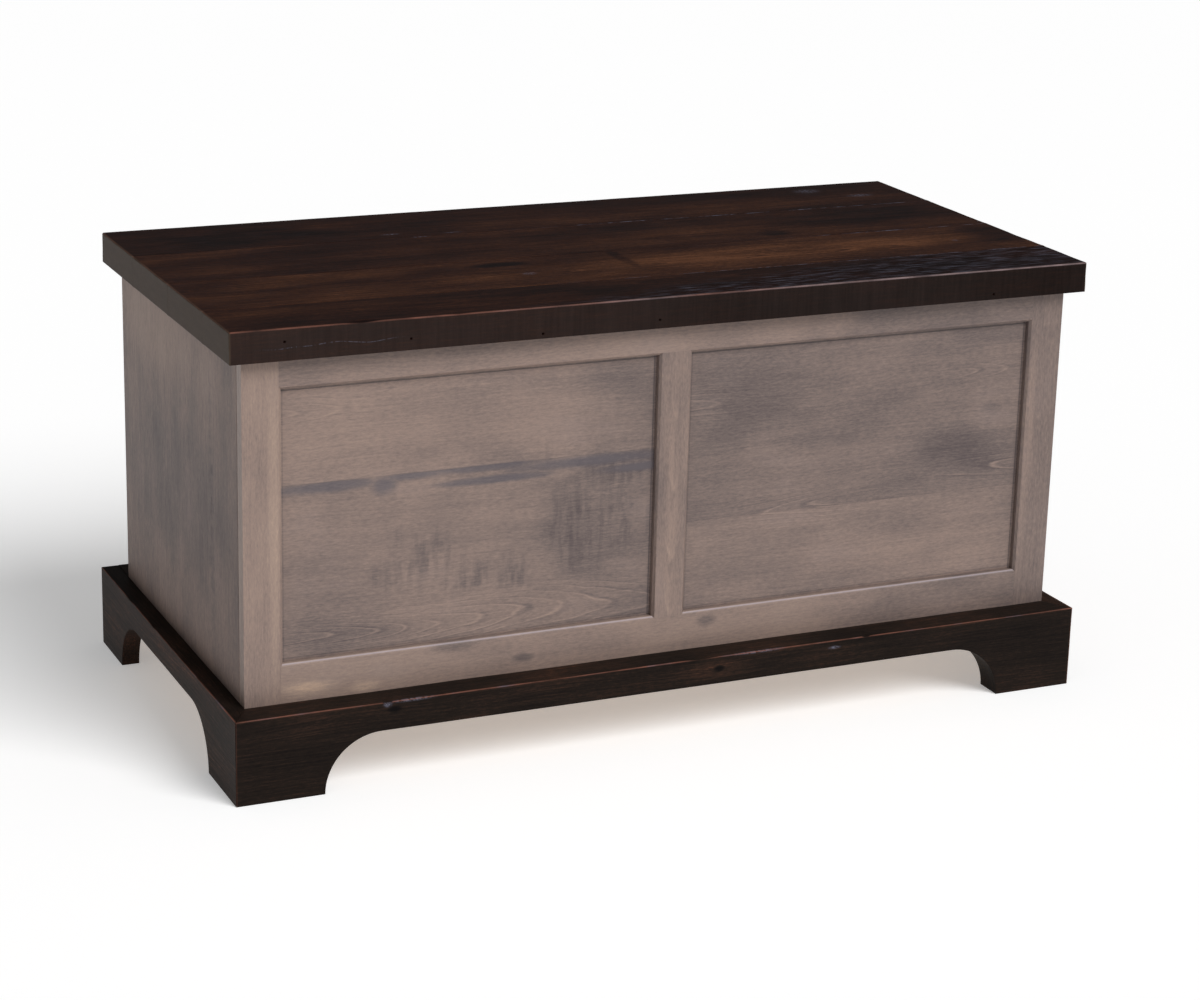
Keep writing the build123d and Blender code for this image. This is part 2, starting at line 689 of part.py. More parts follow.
def main():
    os.makedirs("parts", exist_ok=True)
    save_pair(front_stile(), "front_stile_{}")
    save(front_mullion(), "front_mullion")
    save(front_top_rail(), "front_top_rail")
    save(front_bottom_rail(), "front_bottom_rail")
    save_pair(front_panel(), "front_panel_{}")
    save_pair(side_panel(), "side_panel_{}")
    save(back_panel(), "back_panel")
    save(floor_panel(), "floor_panel")
    save(base_front(), "base_front")
    save_pair(base_side(), "base_{}")
    save(base_rear_rail(), "base_rear_rail")
    save(ledger_long(FRONT), "ledger_front")
    save(ledger_long(BACK - LEDGER_W), "ledger_rear")
    save_pair(ledger_side(), "ledger_{}")
    save(foot_blocks(), "foot_blocks")
    save(screws(LEDGER_SCREW, ledger_places()), "ledger_screws")
    save(screws(CASE_SCREW, case_places()), "case_screws")
    for index in range(len(LID_PLANKS)):
        save(lid_plank(index), f"lid_plank_{index + 1}")
    save(lid_batten(-1), "lid_batten_left")
    save(lid_batten(1), "lid_batten_right")
    save(screws(BATTEN_SCREW, batten_places()), "batten_screws")
    for x, name in zip(HINGE_XS, HINGE_NAMES):
        save(hinge_case_leaf(x), f"hinge_{name}_case_leaf")
        save(hinge_lid_leaf(x), f"hinge_{name}_lid_leaf")
        save(hinge_pin(x), f"hinge_{name}_pin")
    save(screws(HINGE_CASE_SCREW, hinge_case_places()), "hinge_case_screws")
    save(screws(HINGE_LID_SCREW, hinge_lid_places()), "hinge_lid_screws")
    save_pair(stay_case_bracket(), "stay_{}_case_bracket")
    save_pair(stay_lid_bracket(), "stay_{}_lid_bracket")
    save_pair(lower_arm(), "stay_{}_lower_arm")
    save_pair(upper_arm(), "stay_{}_upper_arm")
    save_pair(elbow_rivet(), "stay_{}_elbow_rivet")
    save(screws(STAY_CASE_SCREW, stay_case_places(-1) + stay_case_places(1)), "stay_case_screws")
    save(screws(STAY_LID_SCREW, stay_lid_places(-1) + stay_lid_places(1)), "stay_lid_screws")


main()
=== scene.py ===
# A wooden blanket chest. The lid planks and the three visible base boards are remade with worn
# edges; every other part keeps the CAD's mesh. All of it gets procedural wood or brass.
import math

import bmesh
import bpy
from mathutils import Matrix, Vector, noise


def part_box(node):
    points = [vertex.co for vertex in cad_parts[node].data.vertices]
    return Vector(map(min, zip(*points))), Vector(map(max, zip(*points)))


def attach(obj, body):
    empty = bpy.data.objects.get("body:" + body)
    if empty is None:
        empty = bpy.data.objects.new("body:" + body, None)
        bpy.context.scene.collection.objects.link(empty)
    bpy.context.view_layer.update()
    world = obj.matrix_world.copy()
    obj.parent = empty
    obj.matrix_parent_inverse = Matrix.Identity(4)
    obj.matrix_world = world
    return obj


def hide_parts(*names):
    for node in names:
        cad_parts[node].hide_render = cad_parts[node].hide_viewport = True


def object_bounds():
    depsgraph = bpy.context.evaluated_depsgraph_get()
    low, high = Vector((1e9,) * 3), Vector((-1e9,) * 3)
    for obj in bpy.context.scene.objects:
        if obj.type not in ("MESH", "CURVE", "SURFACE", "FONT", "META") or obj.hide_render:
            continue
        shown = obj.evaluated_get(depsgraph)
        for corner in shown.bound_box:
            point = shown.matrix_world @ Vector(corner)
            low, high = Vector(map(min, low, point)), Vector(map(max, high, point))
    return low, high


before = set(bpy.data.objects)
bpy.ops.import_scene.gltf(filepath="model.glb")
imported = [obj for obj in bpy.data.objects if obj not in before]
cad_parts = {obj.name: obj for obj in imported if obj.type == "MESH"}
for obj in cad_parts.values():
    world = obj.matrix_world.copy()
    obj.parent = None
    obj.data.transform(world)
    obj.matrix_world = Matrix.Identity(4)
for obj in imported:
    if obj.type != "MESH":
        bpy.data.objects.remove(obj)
cad_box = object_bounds()

MM = 0.001
LID_NODES = ("lid_plank_1", "lid_plank_2", "lid_plank_3", "lid_plank_4")
LID_LOW = Vector(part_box(LID_NODES[0])[0])
LID_HIGH = Vector(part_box(LID_NODES[-1])[1])

# ---------------------------------------------------------------- camera and light

CAMERA_PLACE = (-1.560, -3.4606, 1.4369)
CAMERA_TURN = math.radians(-24.94)
CAMERA_PITCH = math.radians(90 - 16.79)
CAMERA_ROLL = math.radians(1.60)
CAMERA_LENS = 88.54
CAMERA_SHIFT = (-0.01667, -0.03333)

SUN_STRENGTH = 2.5
SUN_ANGLE = math.radians(35)
SUN_FROM = (0.35, -0.75, 0.75)
SKY_FRONT = 0.42
SKY_BACK = 0.16
FLOOR_REACH = 30.0
FLOOR_GLOW = 0.30

# ---------------------------------------------------------------- sizes of worn details

SEAM_ROUND = 0.9 * MM
JOINT_ROUND = 0.12 * MM
LID_ROUND = 2.4 * MM
UNDER_ROUND = 1.0 * MM
ROUND_FADE = 8 * MM
BASE_ROUND = 1.4 * MM
CASE_ROUND = 0.4 * MM
EDGE_STEPS = (0.3, 0.65, 1.05, 1.5, 2.0, 2.6, 3.4)
PIT_STEPS = (-2.4, -1.8, -1.3, -0.9, -0.45, 0, 0.45, 0.9, 1.3, 1.8, 2.4)
LEAST_GAP = 0.2 * MM
PLANK_PITCH = 5 * MM
BASE_PITCH = 5 * MM
DIP_WIDTH = 14 * MM
WAVE_DEPTH = 0.45 * MM
NAIL_DEPTH = 3.2 * MM
NAIL_RADIUS = 2.0 * MM


# ---------------------------------------------------------------- node graphs


def display(red, green, blue):
    """The linear colour that a screen shows as these 0 to 255 values."""
    parts = [c / 255 for c in (red, green, blue)]
    linear = [c / 12.92 if c <= 0.04045 else ((c + 0.055) / 1.055) ** 2.4 for c in parts]
    return (*linear, 1.0)


class Number:
    """A value in a node graph, with ordinary arithmetic."""

    def __init__(self, graph, socket):
        self.graph = graph
        self.socket = socket

    def __add__(self, other):
        return self.graph.math("ADD", self, other)

    def __radd__(self, other):
        return self.graph.math("ADD", other, self)

    def __sub__(self, other):
        return self.graph.math("SUBTRACT", self, other)

    def __rsub__(self, other):
        return self.graph.math("SUBTRACT", other, self)

    def __mul__(self, other):
        return self.graph.math("MULTIPLY", self, other)

    def __rmul__(self, other):
        return self.graph.math("MULTIPLY", other, self)


class Graph:
    """One material and short calls for the nodes it is made of."""

    def __init__(self, name):
        self.material = bpy.data.materials.new(name)
        self.material.use_nodes = True
        self.tree = self.material.node_tree
        self.tree.nodes.clear()
        place = self.add("ShaderNodeTexCoord").outputs["Object"]
        split = self.add("ShaderNodeSeparateXYZ")
        self.plug(split.inputs[0], place)
        self.x, self.y, self.z = (Number(self, s) for s in split.outputs)

    def add(self, kind, **settings):
        node = self.tree.nodes.new(kind)
        for key, value in settings.items():
            setattr(node, key, value)
        return node

    def plug(self, socket, value):
        if isinstance(value, Number):
            value = value.socket
        if isinstance(value, bpy.types.NodeSocket):
            self.tree.links.new(value, socket)
        else:
            socket.default_value = value

    def math(self, operation, *values):
        node = self.add("ShaderNodeMath", operation=operation)
        for socket, value in zip(node.inputs, values):
            self.plug(socket, value)
        return Number(self, node.outputs[0])

    def noise(self, place, detail=2.0, rough=0.5):
        """Soft noise about 0, mostly within -0.5 to 0.5, at a place given as three numbers."""
        join = self.add("ShaderNodeCombineXYZ")
        for socket, value in zip(join.inputs, place):
            self.plug(socket, value)
        node = self.add("ShaderNodeTexNoise")
        self.plug(node.inputs["Vector"], join.outputs[0])
        self.plug(node.inputs["Scale"], 1.0)
        self.plug(node.inputs["Detail"], detail)
        self.plug(node.inputs["Roughness"], rough)
        return (Number(self, node.outputs["Fac"]) - 0.5) * 2.0

    def rise(self, value, start, end):
        """0 before start, 1 after end, smooth between; end may be below start."""
        node = self.add("ShaderNodeMapRange", interpolation_type="SMOOTHSTEP", clamp=True)
        self.plug(node.inputs["Value"], value)
        self.plug(node.inputs["From Min"], min(start, end))
        self.plug(node.inputs["From Max"], max(start, end))
        self.plug(node.inputs["To Min"], 0.0 if start < end else 1.0)
        self.plug(node.inputs["To Max"], 1.0 if start < end else 0.0)
        return Number(self, node.outputs["Result"])

    def near(self, value, centre, reach):
        """1 at the centre, fading to 0 at reach from it."""
        return self.rise(self.math("ABSOLUTE", value - centre), reach, 0.0)

    def length(self, a, b):
        """The length of a flat vector (a, b)."""
        return self.math("SQRT", a * a + b * b)

    def spot(self, u, v, centre, size, ragged=0.0):
        """A soft oval patch with half-sizes size, its outline shifted by ragged."""
        away = self.length((u - centre[0]) * (1 / size[0]), (v - centre[1]) * (1 / size[1]))
        return self.rise(away + ragged, 1.0, 0.25)

    def spots(self, u, v, areas, ragged):
        """The strongest of several spots, each given as a centre and half-sizes."""
        share = 0.0
        for centre, size in areas:
            share = self.math("MAXIMUM", share, self.spot(u, v, centre, size, ragged))
        return share

    def ramp(self, value, colours):
        """A colour read from evenly spaced colours as value goes from 0 to 1."""
        node = self.add("ShaderNodeValToRGB")
        elements = node.color_ramp.elements
        while len(elements) < len(colours):
            elements.new(0.5)
        for i, colour in enumerate(colours):
            elements[i].position = i / (len(colours) - 1)
        for element, colour in zip(elements, colours):
            element.color = colour
        self.plug(node.inputs[0], value)
        return node.outputs[0]

    def mix(self, share, first, second):
        """The first colour where share is 0, the second where it is 1."""
        node = self.add("ShaderNodeMix", data_type="RGBA", clamp_factor=True)
        self.plug(node.inputs[0], share)
        self.plug(node.inputs[6], first)
        self.plug(node.inputs[7], second)
        return node.outputs[2]

    def surface(self, colour, roughness, height, bump, specular=0.5, metallic=0.0):
        """Ends the graph: one shader, with height in millimetres bumping its surface."""
        relief = self.add("ShaderNodeBump")
        self.plug(relief.inputs["Strength"], bump)
        self.plug(relief.inputs["Distance"], MM)
        self.plug(relief.inputs["Height"], height)
        shader = self.add("ShaderNodeBsdfPrincipled")
        self.plug(shader.inputs["Base Color"], colour)
        self.plug(shader.inputs["Roughness"], roughness)
        self.plug(shader.inputs["Metallic"], metallic)
        self.plug(shader.inputs["Specular IOR Level"], specular)
        self.plug(shader.inputs["Normal"], relief.outputs[0])
        out = self.add("ShaderNodeOutputMaterial")
        self.plug(out.inputs["Surface"], shader.outputs[0])
        return self.material


# ---------------------------------------------------------------- wood

MAPLE_TONES = (
    display(80, 70, 70),
    display(106, 93, 89),
    display(134, 115, 106),
    display(152, 131, 118),
    display(184, 156, 134),
)
# Pale colour of the painted highlight on the bottom rail's upper arris
PAINTED_HIGHLIGHT = display(186, 176, 186)
MAPLE_COOL = display(98, 94, 101)
LID_TONES = (
    display(10, 5, 6),
    display(22, 11, 10),
    display(42, 21, 15),
    display(68, 40, 25),
    display(108, 68, 44),
)
LID_SIDE = display(48, 38, 35)
# End-grain colour, lightened to stand for part of the reflection on the lid's ends: painted reflection
LID_END_WITH_SHEEN = display(76, 64, 54)
BASE_TONES = (
    display(10, 7, 7),
    display(19, 14, 12),
    display(29, 22, 18),
    display(48, 33, 26),
    display(90, 56, 40),
)
RUBBED = display(132, 86, 72)
PALE_RUB = display(158, 136, 136)
BLUISH = display(112, 112, 128)
BRASS_TONES = (display(84, 62, 38), display(128, 98, 58), display(166, 134, 82), display(204, 174, 116))
INNER_TONES = (display(128, 98, 70), display(160, 128, 94), display(186, 155, 118), display(208, 182, 146))
FLOOR_TONES = (display(132, 106, 82), display(160, 134, 106), display(184, 158, 128), display(204, 182, 152))

# How the woods are built up
DARK_SHEEN = 0.05
MAPLE_LEVEL = 0.48
RING_DEPTH = 12 * MM
EDGE_LINE = 1.2 * MM
STRIP_SHIFT = 5.3
GLINT_MARK_SHARE = 0.7
RUB_SHARE = 0.8
TOP_FACE = (LID_HIGH.z - 3 * MM, LID_HIGH.z - 1.5 * MM)
SCRATCH_PLACE = -0.46
SCRATCH_HEIGHT = 0.560


def board_axes(g, along):
    """Number along the grain, across it on the show face, and into the board."""
    return {"X": (g.x, g.z, g.y), "Z": (g.z, g.x, g.y), "U": (g.z, g.y, g.x)}[along]


def grain(g, u, v, w, seed, fine=300.0, long=9.0):
    """The wavering fibres, pore flecks and slow clouds that every board has."""
    sway = g.noise((u * 3.0 + seed, v * 8.0, w * 8.0), 1.0)
    lane = v + sway * 0.012
    fibre = g.noise((u * long + seed, lane * fine, w * fine), 4.0, 0.7)
    fleck = g.noise((u * 110.0 + seed, lane * 430.0, w * 430.0), 3.0, 0.75)
    cloud = g.noise((u * 4.5 + seed, lane * 18.0, w * 18.0 + seed), 3.0, 0.55)
    return lane, fibre, fleck, cloud


def rings(g, u, lane, cloud, figure):
    """Thin pale growth-ring lines that meet in points along a centre line, from start to end."""
    centre, tip, slope, pitch, reach, start, end = figure
    depth = (u - tip) * slope + RING_DEPTH
    radius = g.length(lane - centre, depth) + cloud * 0.006
    phase = g.math("FRACT", radius * (1 / pitch))
    line = g.near(phase, 0.5, 0.12) - g.near(phase, 0.68, 0.2) * 0.6
    faint = g.noise((u * 16.0, lane * 40.0, tip), 2.0)
    along = u + cloud * 0.05
    ends = g.rise(along, start - 0.05, start + 0.05) * g.rise(along, end + 0.05, end - 0.05)
    return line * g.near(lane, centre, reach) * ends * (0.7 + faint)


def curl(g, u, v, seed, areas):
    """Short dark bars across the grain, only within the given oval areas."""
    bars = g.noise((u * 105.0 + seed, v * 20.0, seed), 2.0, 0.55)
    patchy = g.noise((u * 22.0 + seed, v * 20.0, seed + 3.0), 2.0, 0.6)
    return g.rise(bars + patchy * 0.4, -0.3, 0.45) * g.spots(u, v, areas, patchy)


def glued_strips(g, v, seed, glue):
    """The seed of the grain and the lightness step of each strip in a glued-up board."""
    start = seed
    step = 0.0
    for line, change in glue:
        above = g.math("GREATER_THAN", v, line)
        start = above * STRIP_SHIFT + start
        step = above * change + step
    return start, step


def mineral_streaks(g, u, v, streaks, line, cloud, fog):
    """Bluish mineral marks that stop at a glue line."""
    mark = g.spots(u, v, streaks, cloud * 0.5 + fog * 0.4)
    return mark * g.rise(v + fog * 1.5 * MM, line + 2.0 * MM, line - 1.0 * MM)


def maple(
    name,
    along,
    seed,
    lift=0.0,
    glue=(),
    figures=(),
    areas=(),
    streaks=(),
    patches=(),
    cool=0.0,
    edges=(),
    painted_highlight_at=None,
    sheen=0.28,
):
    """Grey-brown stained maple under a satin lacquer.

    lift: how much lighter the board is than most. cool: how much greyer. sheen: how glossy.
    glue: (place, change), where across the grain the next strip begins and how much lighter it is.
    figures: growth-ring points. areas: curly figure. streaks: bluish mineral lines.
    patches: (centre, size, amount), lighter where the amount is above 0.
    edges: (axis, place, amount), a thin line along the board, lighter or darker by amount; used for painted
    shade along the frame's inner edges.
    painted_highlight_at: where across the board a pale line is painted along its upper arris as a highlight.
    """
    g = Graph(name)
    u, v, w = board_axes(g, along)
    start, step = glued_strips(g, v, seed, glue)
    lane, fibre, fleck, cloud = grain(g, u, v, w, start)
    fog = g.noise((u * 9.0, v * 11.0 + seed, w * 9.0), 3.0, 0.6)
    tone = step + MAPLE_LEVEL + lift + fibre * 0.15 + cloud * 0.22 + fog * 0.16 - fleck * 0.30
    for figure in figures:
        tone = tone + rings(g, u, lane, cloud, figure) * 0.24
    # Painted shade: dark lines where the frame shades the panel.
    for axis, place, amount in edges:
        tone = tone + g.near({"u": u, "v": v}[axis], place, EDGE_LINE) * amount
    if areas:
        tone = tone - curl(g, u, v, seed, areas) * 0.20
    for centre, size, amount in patches:
        tone = tone + g.spot(u, v, centre, size, fog * 0.35) * amount
    blue = g.rise(fog + cloud, 0.1, 0.8) * 0.25 + cool
    if streaks:
        mark = mineral_streaks(g, u, v, streaks, glue[-1][0], cloud, fog)
        blue = blue + mark * 0.7
        tone = tone - mark * 0.27
    stained = g.ramp(tone, MAPLE_TONES)
    colour = g.mix(blue, stained, g.mix(0.55, stained, MAPLE_COOL))
    for line, _ in glue:
        colour = g.mix(g.near(v, line, 0.6 * MM) * 0.35, colour, MAPLE_TONES[0])
    # Painted highlight: a pale bluish line along the upper arris, standing for light caught by its bevel.
    if painted_highlight_at is not None:
        colour = g.mix(g.near(v, painted_highlight_at, EDGE_LINE) * 0.42, colour, PAINTED_HIGHLIGHT)
    roughness = 0.42 - fibre * 0.06 + fleck * 0.05
    return g.surface(colour, roughness, fibre * 0.06 + fleck * 0.05, 0.8, specular=sheen)


def arris_line(g, a, b, corner, reach):
    """1 on the straight arris where a and b have the corner's values, fading over reach."""
    return g.rise(g.length(a - corner[0], b - corner[1]), reach, reach * 0.35)


def rub(g, lines, u, seed):
    """Where the stain is worn through: along the arrises, strong in some places and faint in others."""
    patchy = g.noise((u * 14.0, seed, 1.0), 3.0, 0.6)
    total = 0.0
    for line in lines:
        total = g.math("MAXIMUM", total, line)
    return total * g.rise(patchy, -0.55, 0.35)


def rough_marks(g, u, v, w, seed):
    """Deep open grain left by a wire brush, and saw marks across the board."""
    ridge = g.noise((u * 42.0 + seed, v * 240.0, w * 240.0), 3.0, 0.7)
    saw = g.noise((u * 420.0, v * 3.0 + seed, w * 3.0), 1.0)
    return ridge, saw


def painted_glint_marks(g, u, v, colour, marks, crackle, breaks, share):
    """Painted highlights: small bluish spots where dents and splinters catch the light, broken up by the
    crackle noise.
    """
    for centre, size in marks:
        mark = g.spot(u, v, centre, size, crackle * 0.8) * g.rise(crackle, breaks[0], breaks[1])
        colour = g.mix(mark * share * GLINT_MARK_SHARE, colour, BLUISH)
    return colour


def lid_front(g, colour, side, seed, fog, crackle):
    """The lid's front face: greyer than the top, with saw cuts and one long scratch."""
    u, v, w = g.x, g.y, g.z
    cut = g.noise((u * 260.0, v * 2.0, w * 14.0 + seed), 2.0, 0.7)
    height = w + g.noise((u * 14.0, 1.0, 1.0), 1.0) * 6 * MM
    scratch = g.near(height, SCRATCH_HEIGHT, 0.7 * MM)
    stretch = g.rise(g.math("ABSOLUTE", u - SCRATCH_PLACE), 0.10, 0.05)
    scratch = scratch * stretch * g.rise(crackle, -0.2, 0.2)
    face = g.mix(0.5 + cut * 0.35 + fog * 0.5 + u * 0.45, LID_SIDE, BASE_TONES[1])
    face = g.mix(scratch * 0.5, face, BLUISH)
    return g.mix(side, colour, g.mix(0.25, face, colour))


def lid_end_grain_with_sheen(g, colour, end, seed):
    """End grain at the lid's two ends; its colour is also lightened as a painted reflection, standing for
    part of the sheen there.
    """
    rays = g.noise((g.z * 120.0, g.y * 30.0, seed), 2.0)
    return g.mix(end, colour, g.mix(0.35 + rays * 0.25, LID_END_WITH_SHEEN, LID_SIDE))


def lid_arrises(g, colour, seed):
    """The lid's upper arrises, rubbed through the stain: redder to the left, paler to the right."""
    u, v, w = g.x, g.y, g.z
    lines = [
        arris_line(g, v, w, (LID_LOW.y, LID_HIGH.z), 2.6 * MM),
        arris_line(g, g.math("ABSOLUTE", u), w, (LID_HIGH.x, LID_HIGH.z), 2.0 * MM) * 0.5,
    ]
    change = u + g.noise((u * 8.0, seed, 6.0), 3.0) * 0.8
    tint = g.mix(g.rise(change, -0.4, 0.4), RUBBED, PALE_RUB)
    return g.mix(rub(g, lines, u + v, seed) * RUB_SHARE, colour, tint)


def seam_glints(g, colour, seed, seams):
    """Broken pale lines where the arrises at the seams between planks catch the light."""
    for place, share in seams:
        broken = g.rise(g.noise((g.x * 22.0, seed, 2.0), 4.0, 0.7), -0.1, 0.25)
        line = arris_line(g, g.y, g.z, (place, LID_HIGH.z), 1.5 * MM)
        colour = g.mix(line * broken * g.rise(g.x, share[0], share[1]) * 0.75, colour, BLUISH)
    return colour


def plank(name, seed, lift=0.0, spots=(), figures=(), marks=(), rough_from=None, seams=()):
    """Dark stained reclaimed plank of the lid; its grain runs along X.

    rough_from: from where to where along it the wire-brushed grain comes up.
    seams: (place, (start, end)), the seams beside it and where along them they start to shine.
    """
    g = Graph(name)
    u, v, w = g.x, g.y, g.z
    lane, fibre, fleck, cloud = grain(g, u, v, w, seed, 420.0, 9.0)
    ridge, saw = rough_marks(g, u, lane, w, seed)
    fog = g.noise((u * 6.0, v * 14.0 + seed, w * 6.0), 3.0, 0.6)
    tone = 0.5 + lift + fibre * 0.46 + cloud * 0.34 + fog * 0.20 - fleck * 0.36
    for figure in figures:
        tone = tone - rings(g, u, lane, cloud, figure) * 0.22
    for centre, size, amount in spots:
        tone = tone + g.spot(u, v, centre, size, fog * 0.35 + cloud * 0.25) * amount
    brushed = 0.06
    if rough_from is not None:
        brushed = g.rise(u + fog * 0.2 - (v - LID_LOW.y) * 5.0, rough_from[0], rough_from[1])
        tone = tone - brushed * 0.16
    colour = g.ramp(tone, LID_TONES)
    upper = g.rise(w, TOP_FACE[0], TOP_FACE[1])
    brush = g.noise((u * 24.0 + seed, v * 430.0, w * 240.0), 3.0, 0.6)
    glint = g.rise(brush, 0.0, 0.35) * brushed * upper
    colour = g.mix(glint * 0.42, colour, BLUISH)
    crackle = g.noise((u * 260.0, v * 420.0, seed), 3.0, 0.7)
    # Painted highlights on dents and splinters, on the top face only.
    colour = painted_glint_marks(g, u, v, colour, marks, crackle, (-0.1, 0.3), upper)
    side = g.rise(v, LID_LOW.y + 3 * MM, LID_LOW.y + 0.8 * MM)
    colour = lid_front(g, colour, side, seed, fog, crackle)
    end = g.rise(g.math("ABSOLUTE", u), LID_HIGH.x - 2.2 * MM, LID_HIGH.x - 0.8 * MM)
    colour = lid_end_grain_with_sheen(g, colour, end, seed)
    colour = lid_arrises(g, colour, seed)
    colour = seam_glints(g, colour, seed, seams)
    roughness = 0.46 - fibre * 0.08 + brushed * 0.12
    height = fibre * 0.06 + ridge * (brushed * 0.30 + 0.02) + saw * side * 0.10 + fog * 0.2
    return g.surface(colour, roughness, height, 0.9, specular=(1.0 - end * 0.5) * DARK_SHEEN)


def base_wood(name, along, seed, top_arris, corner, lift=0.0, spots=(), marks=()):
    """Nearly black stained reclaimed board of the base.

    top_arris: how far from the middle its show face is, and its upper edge's height.
    corner: how far from the middle the base's upright corners are.
    """
    g = Graph(name)
    u, v, w = {"X": (g.x, g.z, g.y), "Y": (g.y, g.z, g.x)}[along]
    lane, fibre, fleck, cloud = grain(g, u, v, w, seed, 480.0, 11.0)
    ridge, saw = rough_marks(g, u, lane, w, seed)
    fog = g.noise((u * 7.0, v * 16.0 + seed, w * 8.0), 3.0, 0.6)
    tone = 0.46 + lift + fibre * 0.44 + cloud * 0.24 + fog * 0.20 - fleck * 0.34
    for centre, size, amount in spots:
        tone = tone + g.spot(u, v, centre, size, fog * 0.4) * amount
    # Painted light: the top ledge is made lighter, as lit from above, by the same amount on every board.
    painted_ledge_light = g.rise(v, top_arris[1] - 4 * MM, top_arris[1] - 2 * MM)
    tone = tone + painted_ledge_light * (0.10 - lift + fog * 0.2)
    colour = g.ramp(tone, BASE_TONES)
    # Painted glints: bluish specks on the raised open grain.
    colour = g.mix(g.rise(ridge, 0.3, 0.8) * g.rise(fog, -0.2, 0.6) * 0.20, colour, BLUISH)
    crackle = g.noise((u * 260.0, v * 420.0, seed), 3.0, 0.7)
    side = g.math("ABSOLUTE", w)
    show = g.rise(side, top_arris[0] - 4 * MM, top_arris[0] - 2 * MM)
    # Painted highlights on dents and splinters of the show face.
    colour = painted_glint_marks(g, u, v, colour, marks, crackle, (-0.2, 0.2), show)
    lines = [
        arris_line(g, side, v, top_arris, 2.3 * MM),
        arris_line(g, g.math("ABSOLUTE", g.x), g.y, corner, 2.2 * MM) * 0.35,
    ]
    # Worn arrises: reddish where the stain is rubbed through, with bluish painted highlights where the arris
    # would catch the light.
    tint = g.mix(g.rise(g.noise((u * 19.0, seed, 4.0), 3.0), 0.0, 0.5), RUBBED, BLUISH)
    colour = g.mix(rub(g, lines, u, seed) * RUB_SHARE, colour, tint)
    height = fibre * 0.07 + ridge * 0.14 + saw * 0.04
    return g.surface(colour, 0.5 - fibre * 0.08, height, 0.9, specular=DARK_SHEEN)


def plain_wood(name, along, seed, tones):
    """Planed boards that are seen only with the lid up or from below."""
    g = Graph(name)
    u, v, w = {"X": (g.x, g.y, g.z), "Y": (g.y, g.x, g.z), "Z": (g.z, g.x, g.y)}[along]
    lane, fibre, fleck, cloud = grain(g, u, v, w, seed)
    figure = rings(g, u, lane, cloud, (0.0, 0.0, 0.05, 7 * MM, 0.35, -1.0, 1.0))
    tone = 0.5 + fibre * 0.15 + cloud * 0.3 + figure * 0.12 - g.rise(fleck, 0.25, 0.7) * 0.1
    height = fibre * 0.06 + fleck * 0.03
    return g.surface(g.ramp(tone, tones), 0.5 - fibre * 0.08, height, 0.6, specular=0.3)


def aged_brass():
    """Brass plate gone brown in its hollows and bright where it rubs."""
    g = Graph("aged_brass")
    brushed = g.noise((g.x * 900.0, g.y * 60.0, g.z * 60.0), 2.0)
    stain = g.noise((g.x * 130.0, g.y * 130.0, g.z * 130.0), 4.0, 0.65)
    colour = g.ramp(0.5 + stain * 0.6 + brushed * 0.12, BRASS_TONES)
    return g.surface(colour, 0.34 + stain * 0.12, brushed * 0.03 + stain * 0.02, 0.7, metallic=1.0)


# ---------------------------------------------------------------- mesh helpers


def smooth(value, start, end):
    """0 before start, 1 after end, smooth between."""
    t = min(1.0, max(0.0, (value - start) / (end - start)))
    return t * t * (3 - 2 * t)


def grid_lines(lo, hi, pitch, spots=()):
    """Places from lo to hi about a pitch apart, closer near both ends and round the spots."""
    count = max(1, round((hi - lo) / pitch))
    places = [lo + (hi - lo) * i / count for i in range(count + 1)]
    places += [lo + step * MM for step in EDGE_STEPS]
    places += [hi - step * MM for step in EDGE_STEPS]
    places += [spot + step * MM for spot in spots for step in PIT_STEPS]
    kept = []
    for place in sorted(p for p in places if lo <= p <= hi):
        if not kept or place - kept[-1] > LEAST_GAP:
            kept.append(place)
    kept[-1] = hi
    return kept


def shell(xs, ys, zs):
    """The skin of a grid box: its points and the quads that join them."""
    index = {}
    points = []

    def at(i, j, k):
        key = (i, j, k)
        if key not in index:
            index[key] = len(points)
            points.append(Vector((xs[i], ys[j], zs[k])))
        return index[key]

    quads = []
    nx, ny, nz = len(xs) - 1, len(ys) - 1, len(zs) - 1
    for i in range(nx):
        for j in range(ny):
            quads.append((at(i, j, nz), at(i + 1, j, nz), at(i + 1, j + 1, nz), at(i, j + 1, nz)))
            quads.append((at(i, j, 0), at(i, j + 1, 0), at(i + 1, j + 1, 0), at(i + 1, j, 0)))
        for k in range(nz):
            quads.append((at(i, 0, k), at(i + 1, 0, k), at(i + 1, 0, k + 1), at(i, 0, k + 1)))
            quads.append((at(i, ny, k), at(i, ny, k + 1), at(i + 1, ny, k + 1), at(i + 1, ny, k)))
    for j in range(ny):
        for k in range(nz):
            quads.append((at(0, j, k), at(0, j, k + 1), at(0, j + 1, k + 1), at(0, j + 1, k)))
            quads.append((at(nx, j, k), at(nx, j + 1, k), at(nx, j + 1, k + 1), at(nx, j, k + 1)))
    return points, quads


def add_piece(name, points, quads, material):
    """A smooth-shaded mesh object."""
    mesh = bpy.data.meshes.new(name)
    mesh.from_pydata([tuple(p) for p in points], [], quads)
    mesh.materials.append(material)
    mesh.shade_smooth()
    piece = bpy.data.objects.new(name, mesh)
    bpy.context.scene.collection.objects.link(piece)
    return piece


def stands_for(piece, node, body):
    """Puts a piece in a CAD node's place, riding on its body."""
    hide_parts(node)
    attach(piece, body)


# ---------------------------------------------------------------- lid

